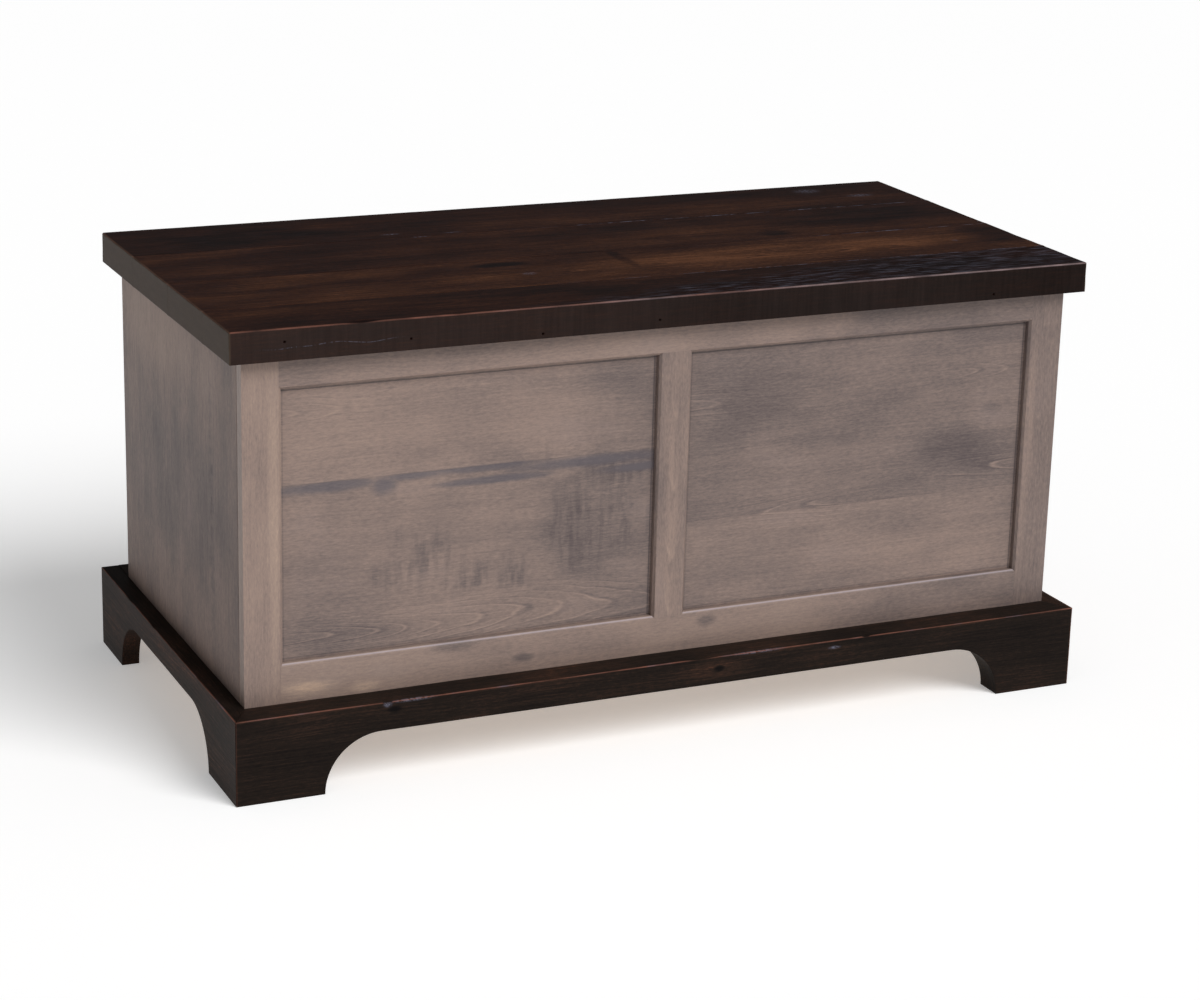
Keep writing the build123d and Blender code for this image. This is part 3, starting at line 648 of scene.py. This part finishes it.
# Nail holes in the front face, as places along and above in millimetres, and dips in its arris
# as (place, reach, depth)
NAILS = ((-517, 567), (-360, 558), (-190, 550), (-34, 555), (444, 551))
ARRIS_DIPS = ((-0.422, 0.030, 1.6 * MM), (0.082, 0.010, 0.5 * MM), (-0.300, 0.020, 0.4 * MM))
DIP_BAND = 9 * MM
NICK_DEPTH = 2.2 * MM
SKIN_DEPTH = 0.2 * MM
LEAF_ROOM = 2.02 * MM
BARREL_ROOM = 0.8 * MM


def pit_depth(p):
    """How far a point of the lid's front face is drawn in by the nail holes."""
    depth = 0.0
    for x, z in NAILS:
        away = math.hypot(p.x - x * MM, p.z - z * MM)
        depth += NAIL_DEPTH * (1 - smooth(away, 0.45 * NAIL_RADIUS, NAIL_RADIUS))
    return depth


def round_size(p, lo, hi):
    """Radius of the arris near a point of a plank: small at seams and below, large outside."""
    radius = LID_ROUND * (1 + 0.3 * noise.noise(p * 22))
    radius = UNDER_ROUND + (radius - UNDER_ROUND) * smooth(p.z - lo.z, ROUND_FADE, 3 * ROUND_FADE)
    seam = JOINT_ROUND + SEAM_ROUND * smooth(p.z, hi.z - 6 * MM, hi.z - 1 * MM)
    for face, own in ((LID_LOW.y, lo.y), (LID_HIGH.y, hi.y)):
        if abs(face - own) > MM:
            radius = seam + (radius - seam) * smooth(abs(p.y - own), 0.0, ROUND_FADE)
    return radius


def worn_plank_point(p, lo, hi, seed):
    """Where a point of a plain plank lies on the worn one."""
    radius = round_size(p, lo, hi)
    core = Vector(max(lo[i] + radius, min(hi[i] - radius, p[i])) for i in range(3))
    out = (p - core).normalized()
    worn = core + out * radius
    top = smooth(out.z, 0.3, 0.9)
    wave = 0.5 + 0.5 * noise.noise(Vector((p.x * 5, p.y * 26, seed)))
    worn -= out * WAVE_DEPTH * wave * top
    arris = min(1.0, 3.4 * (1 - max(abs(out.x), abs(out.y), abs(out.z))))
    nick = max(0.0, noise.noise(Vector((p.x * 34, p.y * 34, seed + 7))) - 0.28)
    nick *= smooth(radius, 2 * SEAM_ROUND, LID_ROUND)
    worn -= out * nick * arris * NICK_DEPTH
    near_front = smooth(LID_LOW.y + DIP_BAND - p.y, 0.0, DIP_BAND)
    near_front *= smooth(p.z, LID_HIGH.z - 10 * MM, LID_HIGH.z)
    for x, reach, depth in ARRIS_DIPS:
        worn.z -= depth * near_front * (1 - smooth(abs(p.x - x), 0.0, reach))
    if out.y < -0.9:
        skin = 1 + noise.noise(Vector((p.x * 30, seed, p.z * 60)))
        worn.y += pit_depth(p) + SKIN_DEPTH * skin
    return worn


def hinge_cutters():
    """Blocks and rods that leave room for the hinge leaves let into the lid."""
    for side in ("left", "center", "right"):
        lo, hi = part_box(f"hinge_{side}_lid_leaf")
        pin_lo, pin_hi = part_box(f"hinge_{side}_pin")
        barrel = (hi.z - lo.z) / 2
        pin_y = hi.y - barrel
        pin_z = (lo.z + hi.z) / 2
        yield box_cutter(lo.x, hi.x, lo.y, pin_y, pin_z - MM, pin_z + LEAF_ROOM)
        yield rod_cutter(pin_lo.x - MM, pin_hi.x + MM, pin_y, pin_z, barrel + BARREL_ROOM)


def box_cutter(x0, x1, y0, y1, z0, z1):
    """A block between the given places."""
    points, quads = shell((x0, x1), (y0, y1), (z0, z1))
    return add_piece("cutter", points, quads, None)


def rod_cutter(x0, x1, y, z, radius):
    """A rod along X."""
    work = bmesh.new()
    turn = Matrix.Rotation(math.pi / 2, 4, "Y")
    place = Matrix.Translation(((x0 + x1) / 2, y, z)) @ turn
    bmesh.ops.create_cone(
        work, cap_ends=True, segments=32, radius1=radius, radius2=radius, depth=x1 - x0, matrix=place
    )
    mesh = bpy.data.meshes.new("cutter")
    work.to_mesh(mesh)
    work.free()
    rod = bpy.data.objects.new("cutter", mesh)
    bpy.context.scene.collection.objects.link(rod)
    return rod


def cut(piece, cutters):
    """Takes the cutters out of a piece for good, and removes them."""
    for cutter in cutters:
        step = piece.modifiers.new("cut", "BOOLEAN")
        step.object = cutter
        step.operation = "DIFFERENCE"
        step.solver = "EXACT"
        scene_now = bpy.context.evaluated_depsgraph_get()
        result = bpy.data.meshes.new_from_object(piece.evaluated_get(scene_now))
        piece.modifiers.remove(step)
        old = piece.data
        piece.data = result
        bpy.data.meshes.remove(old)
        bpy.data.objects.remove(cutter)


def plank_box(number):
    """Corners of one plank's show face; its tongue, hidden in the plank before it, isn't counted."""
    lo, hi = (Vector(c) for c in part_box(LID_NODES[number]))
    if number > 0:
        lo.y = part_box(LID_NODES[number - 1])[1].y
    return lo, hi


def make_plank(number, material):
    """One worn lid plank in its CAD node's place."""
    node = LID_NODES[number]
    lo, hi = plank_box(number)
    nails_x = [x * MM for x, z in NAILS] if number == 0 else ()
    nails_z = [z * MM for x, z in NAILS] if number == 0 else ()
    xs = grid_lines(lo.x, hi.x, PLANK_PITCH, nails_x)
    ys = grid_lines(lo.y, hi.y, PLANK_PITCH)
    zs = grid_lines(lo.z, hi.z, PLANK_PITCH, nails_z)
    points, quads = shell(xs, ys, zs)
    points = [worn_plank_point(p, lo, hi, 3.7 * (number + 1)) for p in points]
    piece = add_piece(f"worn_{node}", points, quads, material)
    if number == len(LID_NODES) - 1:
        cut(piece, hinge_cutters())
    stands_for(piece, node, "lid")


# ---------------------------------------------------------------- base

BASE_FOOT_FRONT = 113 * MM
BASE_FOOT_REAR = 98 * MM
ARCH_RADIUS = 72.5 * MM
ARCH_STEPS = 18
BASE_ROWS = 12
BASE_WAVE = 1.1 * MM
BASE_SKIN = 0.3 * MM
# Worn dips in the upper edge as (place along it, reach, depth); the side boards' first one is mirrored
FRONT_DIPS = ((-0.395, 0.008, 2.2 * MM), (0.270, 0.008, 1.5 * MM), (0.030, 0.030, 1.2 * MM))
SIDE_DIPS = ((-0.05, 0.012, 0.8 * MM), (0.16, 0.02, 0.6 * MM))


def arch_height(s, opening):
    """Height of a base board's lower edge at a place along it."""
    start, end = opening
    inside = min(s - start, end - s)
    if inside <= 0:
        return 0.0
    if inside >= ARCH_RADIUS:
        return ARCH_RADIUS
    return math.sqrt(ARCH_RADIUS**2 - (ARCH_RADIUS - inside) ** 2)


def arch_lines(lo, hi, opening):
    """Places along a base board, closer together round the quarter circles."""
    start, end = opening
    places = set()
    for a, b in ((lo, start), (start + ARCH_RADIUS, end - ARCH_RADIUS), (end, hi)):
        count = max(1, round((b - a) / BASE_PITCH))
        places |= {round(a + (b - a) * i / count, 6) for i in range(count + 1)}
    for i in range(1, ARCH_STEPS):
        away = ARCH_RADIUS * (1 - math.cos(math.pi / 2 * i / ARCH_STEPS))
        places |= {round(start + away, 6), round(end - away, 6)}
    return sorted(places)


def spread(count):
    """Shares from 0 to 1 in even steps."""
    return [i / count for i in range(count + 1)]


def bevelled(points, quads, width):
    """Points and faces with every sharp arris cut back by width in a rounded bevel."""
    work = bmesh.new()
    verts = [work.verts.new(p) for p in points]
    for quad in quads:
        work.faces.new([verts[i] for i in quad])
    bmesh.ops.remove_doubles(work, verts=work.verts, dist=0.01 * MM)
    work.normal_update()
    sharp = [e for e in work.edges if e.calc_face_angle(0.0) > math.radians(35)]
    bmesh.ops.bevel(
        work, geom=sharp, offset=width, segments=3, profile=0.5, affect="EDGES", clamp_overlap=True
    )
    bmesh.ops.recalc_face_normals(work, faces=work.faces)
    work.normal_update()
    return work


def finish_board(name, work, shape, material):
    """Moves each point of a bevelled board by shape and keeps the mesh."""
    moves = [(v, shape(v.co.copy(), v.normal.copy())) for v in work.verts]
    for v, place in moves:
        v.co = place
    mesh = bpy.data.meshes.new(name)
    work.to_mesh(mesh)
    work.free()
    mesh.materials.append(material)
    mesh.shade_smooth()
    piece = bpy.data.objects.new(name, mesh)
    bpy.context.scene.collection.objects.link(piece)
    return piece


def worn_base(p, out, along, seed, dips, outer):
    """Where a point of a plain base board lies on the worn one; outer is its show face's place."""
    s = p[along]
    top = smooth(p.z, 0.100, 0.110)
    show = 1 - smooth(abs(abs(p[1 - along]) - outer), 0.0, DIP_WIDTH)
    wave = 0.5 + 0.5 * noise.noise(Vector((s * 9, seed, 0)))
    drop = BASE_WAVE * wave * top
    for place, reach, depth in dips:
        drop += depth * top * show * (1 - smooth(abs(s - place), 0.0, reach))
    p = p - Vector((0, 0, drop))
    skin = 0.5 + 0.5 * noise.noise(Vector((p.x * 11, p.y * 11, p.z * 34 + seed)))
    inward = out * (BASE_SKIN * skin)
    return p - inward


def make_base_front(material):
    """The worn front board of the base, mitred into the side boards."""
    lo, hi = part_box("base_front")
    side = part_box("base_right")[1].x
    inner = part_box("base_right")[0].x
    foot_start = side - BASE_FOOT_FRONT
    opening = (-side + BASE_FOOT_FRONT, foot_start)
    xs = arch_lines(-side, side, opening)
    ys = [lo.y + (hi.y - lo.y) * t for t in spread(4)]
    points, quads = shell(xs, ys, spread(BASE_ROWS))
    placed = []
    for p in points:
        back = (p.y - lo.y) / (hi.y - lo.y)
        out_share = max(0.0, (abs(p.x) - foot_start) / BASE_FOOT_FRONT)
        x = math.copysign(abs(p.x) - out_share * back * (side - inner), p.x)
        low = arch_height(p.x, opening)
        placed.append(Vector((x, p.y, low + (hi.z - low) * p.z)))
    work = bevelled(placed, quads, BASE_ROUND)

    def shape(p, out):
        return worn_base(p, out, 0, 3.1, FRONT_DIPS, -lo.y)

    piece = finish_board("worn_base_front", work, shape, material)
    stands_for(piece, "base_front", "case")


def make_base_side(node, sign, material):
    """A worn side board of the base; sign is 1 on the right and -1 on the left."""
    lo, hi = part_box(node)
    front_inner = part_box("base_front")[1].y
    opening = (lo.y + BASE_FOOT_FRONT, hi.y - BASE_FOOT_REAR)
    outer = max(abs(lo.x), abs(hi.x))
    inner = min(abs(lo.x), abs(hi.x))
    ys = arch_lines(lo.y, hi.y, opening)
    xs = [inner + (outer - inner) * t for t in spread(3)]
    if sign < 0:
        xs = [-x for x in reversed(xs)]
    points, quads = shell(xs, ys, spread(BASE_ROWS))
    placed = []
    for p in points:
        inward = (outer - abs(p.x)) / (outer - inner)
        share = max(0.0, (opening[0] - p.y) / BASE_FOOT_FRONT)
        y = p.y + share * inward * (front_inner - lo.y)
        low = arch_height(p.y, opening)
        placed.append(Vector((p.x, y, low + (hi.z - low) * p.z)))
    work = bevelled(placed, quads, BASE_ROUND)
    (place, reach, depth), other = SIDE_DIPS
    dips = ((place * sign, reach, depth), other)

    def shape(p, out):
        return worn_base(p, out, 1, 8.3 + sign, dips, outer)

    piece = finish_board(f"worn_{node}", work, shape, material)
    stands_for(piece, node, "case")


# ---------------------------------------------------------------- materials on the CAD's own parts

RAIL_TOP_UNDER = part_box("front_top_rail")[0].z
RAIL_BOTTOM_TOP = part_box("front_bottom_rail")[1].z
STILE_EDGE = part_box("front_stile_right")[0].x
MULLION_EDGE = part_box("front_mullion")[1].x


def dress(nodes, material, soften=False):
    """Gives CAD parts a material; boards also get slightly eased arrises."""
    for node in nodes:
        part = bpy.data.objects[node]
        for slot in part.material_slots:
            slot.material = material
        if soften:
            weld = part.modifiers.new("weld", "WELD")
            weld.merge_threshold = 0.01 * MM
            ease = part.modifiers.new("ease", "BEVEL")
            ease.width = CASE_ROUND
            ease.segments = 2
            ease.limit_method = "ANGLE"
            ease.angle_limit = math.radians(50)


def panel_shade_lines(left, right):
    """Painted shade lines where a panel meets the frame round it, darkest under the top rail and along the
    right-hand edge.
    """
    return (
        ("v", RAIL_TOP_UNDER - 3.6 * MM, -0.35),
        ("u", right - 3.4 * MM, -0.34),
        ("u", left + 3.6 * MM, -0.15),
        ("v", RAIL_BOTTOM_TOP + 3.4 * MM, -0.15),
    )


def dress_front_frame():
    """Stiles, mullion and rails of the front."""
    stiles = (
        ("front_stile_left", 2.1, 0.05, -0.525, 0.15),
        # The right stile's lower lift is painted shade: the right half of the front is darker.
        ("front_stile_right", 6.4, -0.20, 0.523, 0.1),
    )
    for node, seed, lift, stripe, amount in stiles:
        pale = (((0.33, stripe), (0.30, 0.010), amount),)
        dress([node], maple(f"maple_{node}", "Z", seed, lift, patches=pale), True)
    flame = ((0.0, 0.46, -0.05, 5 * MM, 0.012, 0.16, 0.47),)
    flame_light = (((0.30, 0.0), (0.22, 0.012), 0.10),)
    mullion = maple("maple_mullion", "Z", 9.2, -0.06, figures=flame, patches=flame_light)
    dress(["front_mullion"], mullion, True)
    # The first top-rail patch is painted shade over the right half.
    top_patches = (((0.42, 0.524), (0.30, 0.08), -0.20), ((-0.10, 0.52), (0.1, 0.03), 0.05))
    dress(["front_top_rail"], maple("maple_top_rail", "X", 4.4, -0.04, patches=top_patches), True)
    rail_patches = (
        ((-0.48, 0.125), (0.05, 0.014), 0.28),
        ((-0.41, 0.118), (0.03, 0.01), 0.26),
        # Painted shade: the right half of the rail is darker.
        ((0.42, 0.13), (0.30, 0.08), -0.20),
        ((-0.30, 0.155), (0.05, 0.012), -0.22),
        ((-0.20, 0.128), (0.02, 0.008), -0.28),
        ((0.055, 0.145), (0.02, 0.010), -0.28),
    )
    bottom = maple(
        "maple_bottom_rail", "X", 7.7, 0.03, patches=rail_patches, painted_highlight_at=RAIL_BOTTOM_TOP - EDGE_LINE
    )
    dress(["front_bottom_rail"], bottom, True)


def dress_left_panel():
    """Front left panel: two strips, a bluish streak, growth rings and curl."""
    left_rings = (
        (0.187, -0.40, 0.075, 4.2 * MM, 0.055, -1.0, 0.0),
        (0.470, -0.46, 0.09, 6 * MM, 0.03, -0.52, -0.42),
    )
    left_curl = (
        ((-0.115, 0.30), (0.12, 0.095)),
        ((-0.34, 0.262), (0.09, 0.05)),
        ((-0.06, 0.355), (0.07, 0.03)),
        ((-0.25, 0.24), (0.10, 0.03)),
    )
    left_streaks = (
        ((-0.382, 0.370), (0.028, 0.019)),
        ((-0.455, 0.376), (0.11, 0.011)),
        ((-0.345, 0.379), (0.08, 0.009)),
        ((-0.270, 0.381), (0.12, 0.009)),
        ((-0.250, 0.363), (0.12, 0.007)),
        ((-0.110, 0.374), (0.13, 0.012)),
        ((-0.040, 0.360), (0.08, 0.009)),
    )
    left_patches = (
        ((-0.43, 0.45), (0.15, 0.08), 0.06),
        ((-0.46, 0.24), (0.08, 0.12), -0.10),
        ((-0.06, 0.33), (0.14, 0.3), -0.12),
    )
    dress(
        ["front_panel_left"],
        maple(
            "maple_panel_left",
            "X",
            1.3,
            -0.09,
            ((0.382, 0.04),),
            left_rings,
            left_curl,
            left_streaks,
            left_patches,
            edges=panel_shade_lines(-STILE_EDGE, -MULLION_EDGE),
        ),
        True,
    )


def dress_right_panel():
    """Front right panel: two strips with a darker, quieter figure."""
    right_rings = (
        (0.432, 0.11, 0.09, 6 * MM, 0.04, 0.0, 0.09),
        (0.284, 0.14, -0.06, 5 * MM, 0.04, 0.12, 0.26),
        (0.310, 0.48, -0.05, 5 * MM, 0.035, 0.40, 0.52),
        (0.438, 0.49, 0.09, 5 * MM, 0.02, 0.42, 0.50),
    )
    right_patches = (
        ((0.42, 0.33), (0.12, 0.05), -0.14),
        ((0.10, 0.45), (0.14, 0.09), -0.10),
        ((0.469, 0.388), (0.02, 0.012), -0.12),
        ((0.40, 0.20), (0.16, 0.06), 0.08),
    )
    dress(
        ["front_panel_right"],
        maple(
            "maple_panel_right",
            "X",
            5.9,
            -0.11,
            ((0.2785, -0.09),),
            right_rings,
            patches=right_patches,
            edges=panel_shade_lines(MULLION_EDGE, STILE_EDGE),
        ),
        True,
    )


def dress_sides_and_back():
    """The upright-grained side panels and the back."""
    side_patches = (
        # Painted sheen: the first two patches lighten the top of each side panel.
        ((0.50, 0.10), (0.09, 0.22), 0.22),
        ((0.50, -0.10), (0.06, 0.12), 0.08),
        ((0.30, -0.02), (0.13, 0.4), -0.14),
    )
    side_figure = ((0.06, 0.30, -0.06, 7 * MM, 0.12, 0.28, 0.60),)
    side_curl = (((0.32, -0.14), (0.3, 0.012)),)
    for node, seed in (("side_panel_left", 3.3), ("side_panel_right", 8.8)):
        side = maple(
            f"maple_{node}", "U", seed, -0.09, (), side_figure, side_curl, (), side_patches, 0.05, sheen=0.06
        )
        dress([node], side, True)
    dress(["back_panel"], maple("maple_back", "X", 12.5, -0.06, ((0.24, 0.06), (0.39, -0.09))), True)


def dress_rest():
    """What shows only with the lid up or from below, and the hardware."""
    dress(["floor_panel"], plain_wood("floor_maple", "X", 2.0, FLOOR_TONES), True)
    inner_x = plain_wood("inner_x", "X", 5.0, INNER_TONES)
    inner_y = plain_wood("inner_y", "Y", 6.0, INNER_TONES)
    inner_z = plain_wood("inner_z", "Z", 7.0, INNER_TONES)
    dress(["ledger_front", "ledger_rear"], inner_x, True)
    dress(["ledger_left", "ledger_right", "lid_batten_left", "lid_batten_right"], inner_y, True)
    dress(["foot_blocks"], inner_z, True)
    brass = aged_brass()
    metal = [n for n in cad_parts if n.startswith(("hinge_", "stay_")) or n.endswith("_screws")]
    dress(metal, brass)


def make_lid():
    """The four worn planks, each with its own grain, spots and painted glint marks."""
    front_rings = (
        (-0.230, -0.30, 0.05, 5 * MM, 0.05, -0.60, -0.10),
        (-0.205, 0.18, -0.05, 6 * MM, 0.04, -0.05, 0.30),
    )
    middle_spots = (
        ((0.22, -0.10), (0.36, 0.06), 0.27),
        ((0.46, -0.10), (0.14, 0.04), 0.06),
        ((-0.158, -0.060), (0.05, 0.016), -0.4),
        ((0.009, -0.07), (0.012, 0.08), -0.18),
        ((0.57, -0.09), (0.08, 0.10), -0.25),
    )
    back_spots = (
        ((0.10, 0.02), (0.30, 0.06), 0.10),
        ((0.272, 0.0), (0.03, 0.03), -0.22),
        ((0.42, 0.07), (0.22, 0.07), -0.14),
    )
    rear_spots = (((-0.42, 0.20), (0.16, 0.05), -0.16), ((0.2, 0.17), (0.5, 0.05), 0.08))
    looks = (
        dict(seed=3.0, lift=-0.06, rough_from=(-0.30, 0.0), figures=front_rings),
        dict(
            seed=7.0,
            lift=0.10,
            spots=middle_spots,
            figures=((-0.12, 0.0, 0.05, 6 * MM, 0.07, -0.30, 0.60),),
            marks=(((-0.138, -0.117), (0.016, 0.010)), ((0.484, -0.115), (0.008, 0.006))),
        ),
        dict(seed=11.0, lift=0.0, spots=back_spots, marks=(((-0.194, 0.123), (0.02, 0.004)),)),
        dict(
            seed=17.0,
            lift=-0.08,
            spots=rear_spots,
            marks=(
                ((0.444, 0.236), (0.030, 0.020)),
                ((0.505, 0.188), (0.030, 0.014)),
                ((-0.227, 0.148), (0.020, 0.006)),
                ((-0.144, 0.135), (0.020, 0.004)),
            ),
        ),
    )
    seams = [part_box(node)[1].y for node in LID_NODES[:-1]]
    shares = ((-0.2, 0.25), (0.2, 0.45), (-0.1, 0.10))
    for number, look in enumerate(looks):
        lines = [(seams[i], shares[i]) for i in (number - 1, number) if 0 <= i < len(seams)]
        material = plank(f"lid_wood_{number + 1}", seams=lines, **look)
        make_plank(number, material)


def make_base():
    """The worn base boards, and the rear rail's material."""
    lo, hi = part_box("base_front")
    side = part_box("base_right")[1].x
    corner = (side, lo.y)
    front_spots = (
        ((0.05, 0.092), (0.08, 0.018), 0.22),
        ((0.056, 0.093), (0.010, 0.006), -0.6),
        ((-0.386, 0.099), (0.012, 0.006), -0.6),
        ((0.22, 0.088), (0.10, 0.02), 0.12),
    )
    # Painted highlights on splinters and dents near the upper edge
    front_glint_marks = (
        ((-0.362, 0.109), (0.040, 0.004)),
        ((-0.395, 0.106), (0.008, 0.005)),
        ((0.110, 0.109), (0.050, 0.003)),
        ((0.223, 0.100), (0.012, 0.003)),
    )
    arris = (-lo.y, hi.z)
    front = base_wood("base_wood_front", "X", 4.0, arris, corner, 0.0, front_spots, front_glint_marks)
    make_base_front(front)
    # The side boards are painted lighter than the front (lift 0.24), standing for the sheen on them: painted
    # reflection.
    wood = base_wood("base_wood_side", "Y", 9.0, (side, hi.z), corner, 0.24)
    make_base_side("base_left", -1, wood)
    make_base_side("base_right", 1, wood)
    dress(["base_rear_rail"], base_wood("base_wood_rear", "X", 14.0, arris, corner), True)


# ---------------------------------------------------------------- studio


def make_floor():
    """A pale plain floor that glows a little, so that it stays near white."""
    g = Graph("studio_floor")
    shade = g.noise((g.x * 0.7, g.y * 0.7, 0.0), 2.0)
    colour = g.ramp(0.5 + shade * 0.1, (display(244, 244, 244), display(248, 248, 248)))
    g.surface(colour, 0.75, g.noise((g.x * 90, g.y * 90, 0.0), 2.0) * 0.01, 0.1, specular=0.05)
    shader = next(n for n in g.tree.nodes if n.type == "BSDF_PRINCIPLED")
    g.plug(shader.inputs["Emission Color"], (1.0, 1.0, 1.0, 1.0))
    g.plug(shader.inputs["Emission Strength"], FLOOR_GLOW)
    reach = FLOOR_REACH
    low = cad_box[0].z
    corners = [(-reach, -reach, low), (reach, -reach, low), (reach, reach, low), (-reach, reach, low)]
    floor = add_piece("studio_floor", corners, [(0, 1, 2, 3)], g.material)


def make_light():
    """A wide soft sun, and a sky that is brighter in front than behind."""
    lamp = bpy.data.lights.new("studio_sun", "SUN")
    lamp.energy = SUN_STRENGTH
    lamp.angle = SUN_ANGLE
    sun = bpy.data.objects.new("studio_sun", lamp)
    sun.rotation_euler = Vector(SUN_FROM).to_track_quat("Z", "Y").to_euler()
    bpy.context.scene.collection.objects.link(sun)
    world = bpy.data.worlds.new("studio_sky")
    world.use_nodes = True
    tree = world.node_tree
    tree.nodes.clear()
    place = tree.nodes.new("ShaderNodeTexCoord")
    split = tree.nodes.new("ShaderNodeSeparateXYZ")
    tree.links.new(place.outputs["Generated"], split.inputs[0])
    share = tree.nodes.new("ShaderNodeMapRange")
    tree.links.new(split.outputs["Y"], share.inputs["Value"])
    share.inputs["From Min"].default_value = -0.6
    share.inputs["From Max"].default_value = 0.6
    share.inputs["To Min"].default_value = SKY_FRONT
    share.inputs["To Max"].default_value = SKY_BACK
    glow = tree.nodes.new("ShaderNodeBackground")
    tree.links.new(share.outputs["Result"], glow.inputs["Strength"])
    out = tree.nodes.new("ShaderNodeOutputWorld")
    tree.links.new(glow.outputs[0], out.inputs["Surface"])
    bpy.context.scene.world = world


def make_camera():
    """The photograph's camera."""
    lens = bpy.data.cameras.new("studio_camera")
    lens.lens = CAMERA_LENS
    lens.shift_x, lens.shift_y = CAMERA_SHIFT
    lens.clip_end = 100.0
    camera = bpy.data.objects.new("studio_camera", lens)
    turn = Matrix.Rotation(CAMERA_TURN, 4, "Z")
    pitch = Matrix.Rotation(CAMERA_PITCH, 4, "X")
    roll = Matrix.Rotation(CAMERA_ROLL, 4, "Z")
    camera.matrix_world = Matrix.Translation(CAMERA_PLACE) @ turn @ pitch @ roll
    bpy.context.scene.collection.objects.link(camera)
    bpy.context.scene.camera = camera


make_lid()
make_base()
dress_front_frame()
dress_left_panel()
dress_right_panel()
dress_sides_and_back()
dress_rest()
make_floor()
make_light()
make_camera()
bpy.context.scene.view_settings.view_transform = "Standard"
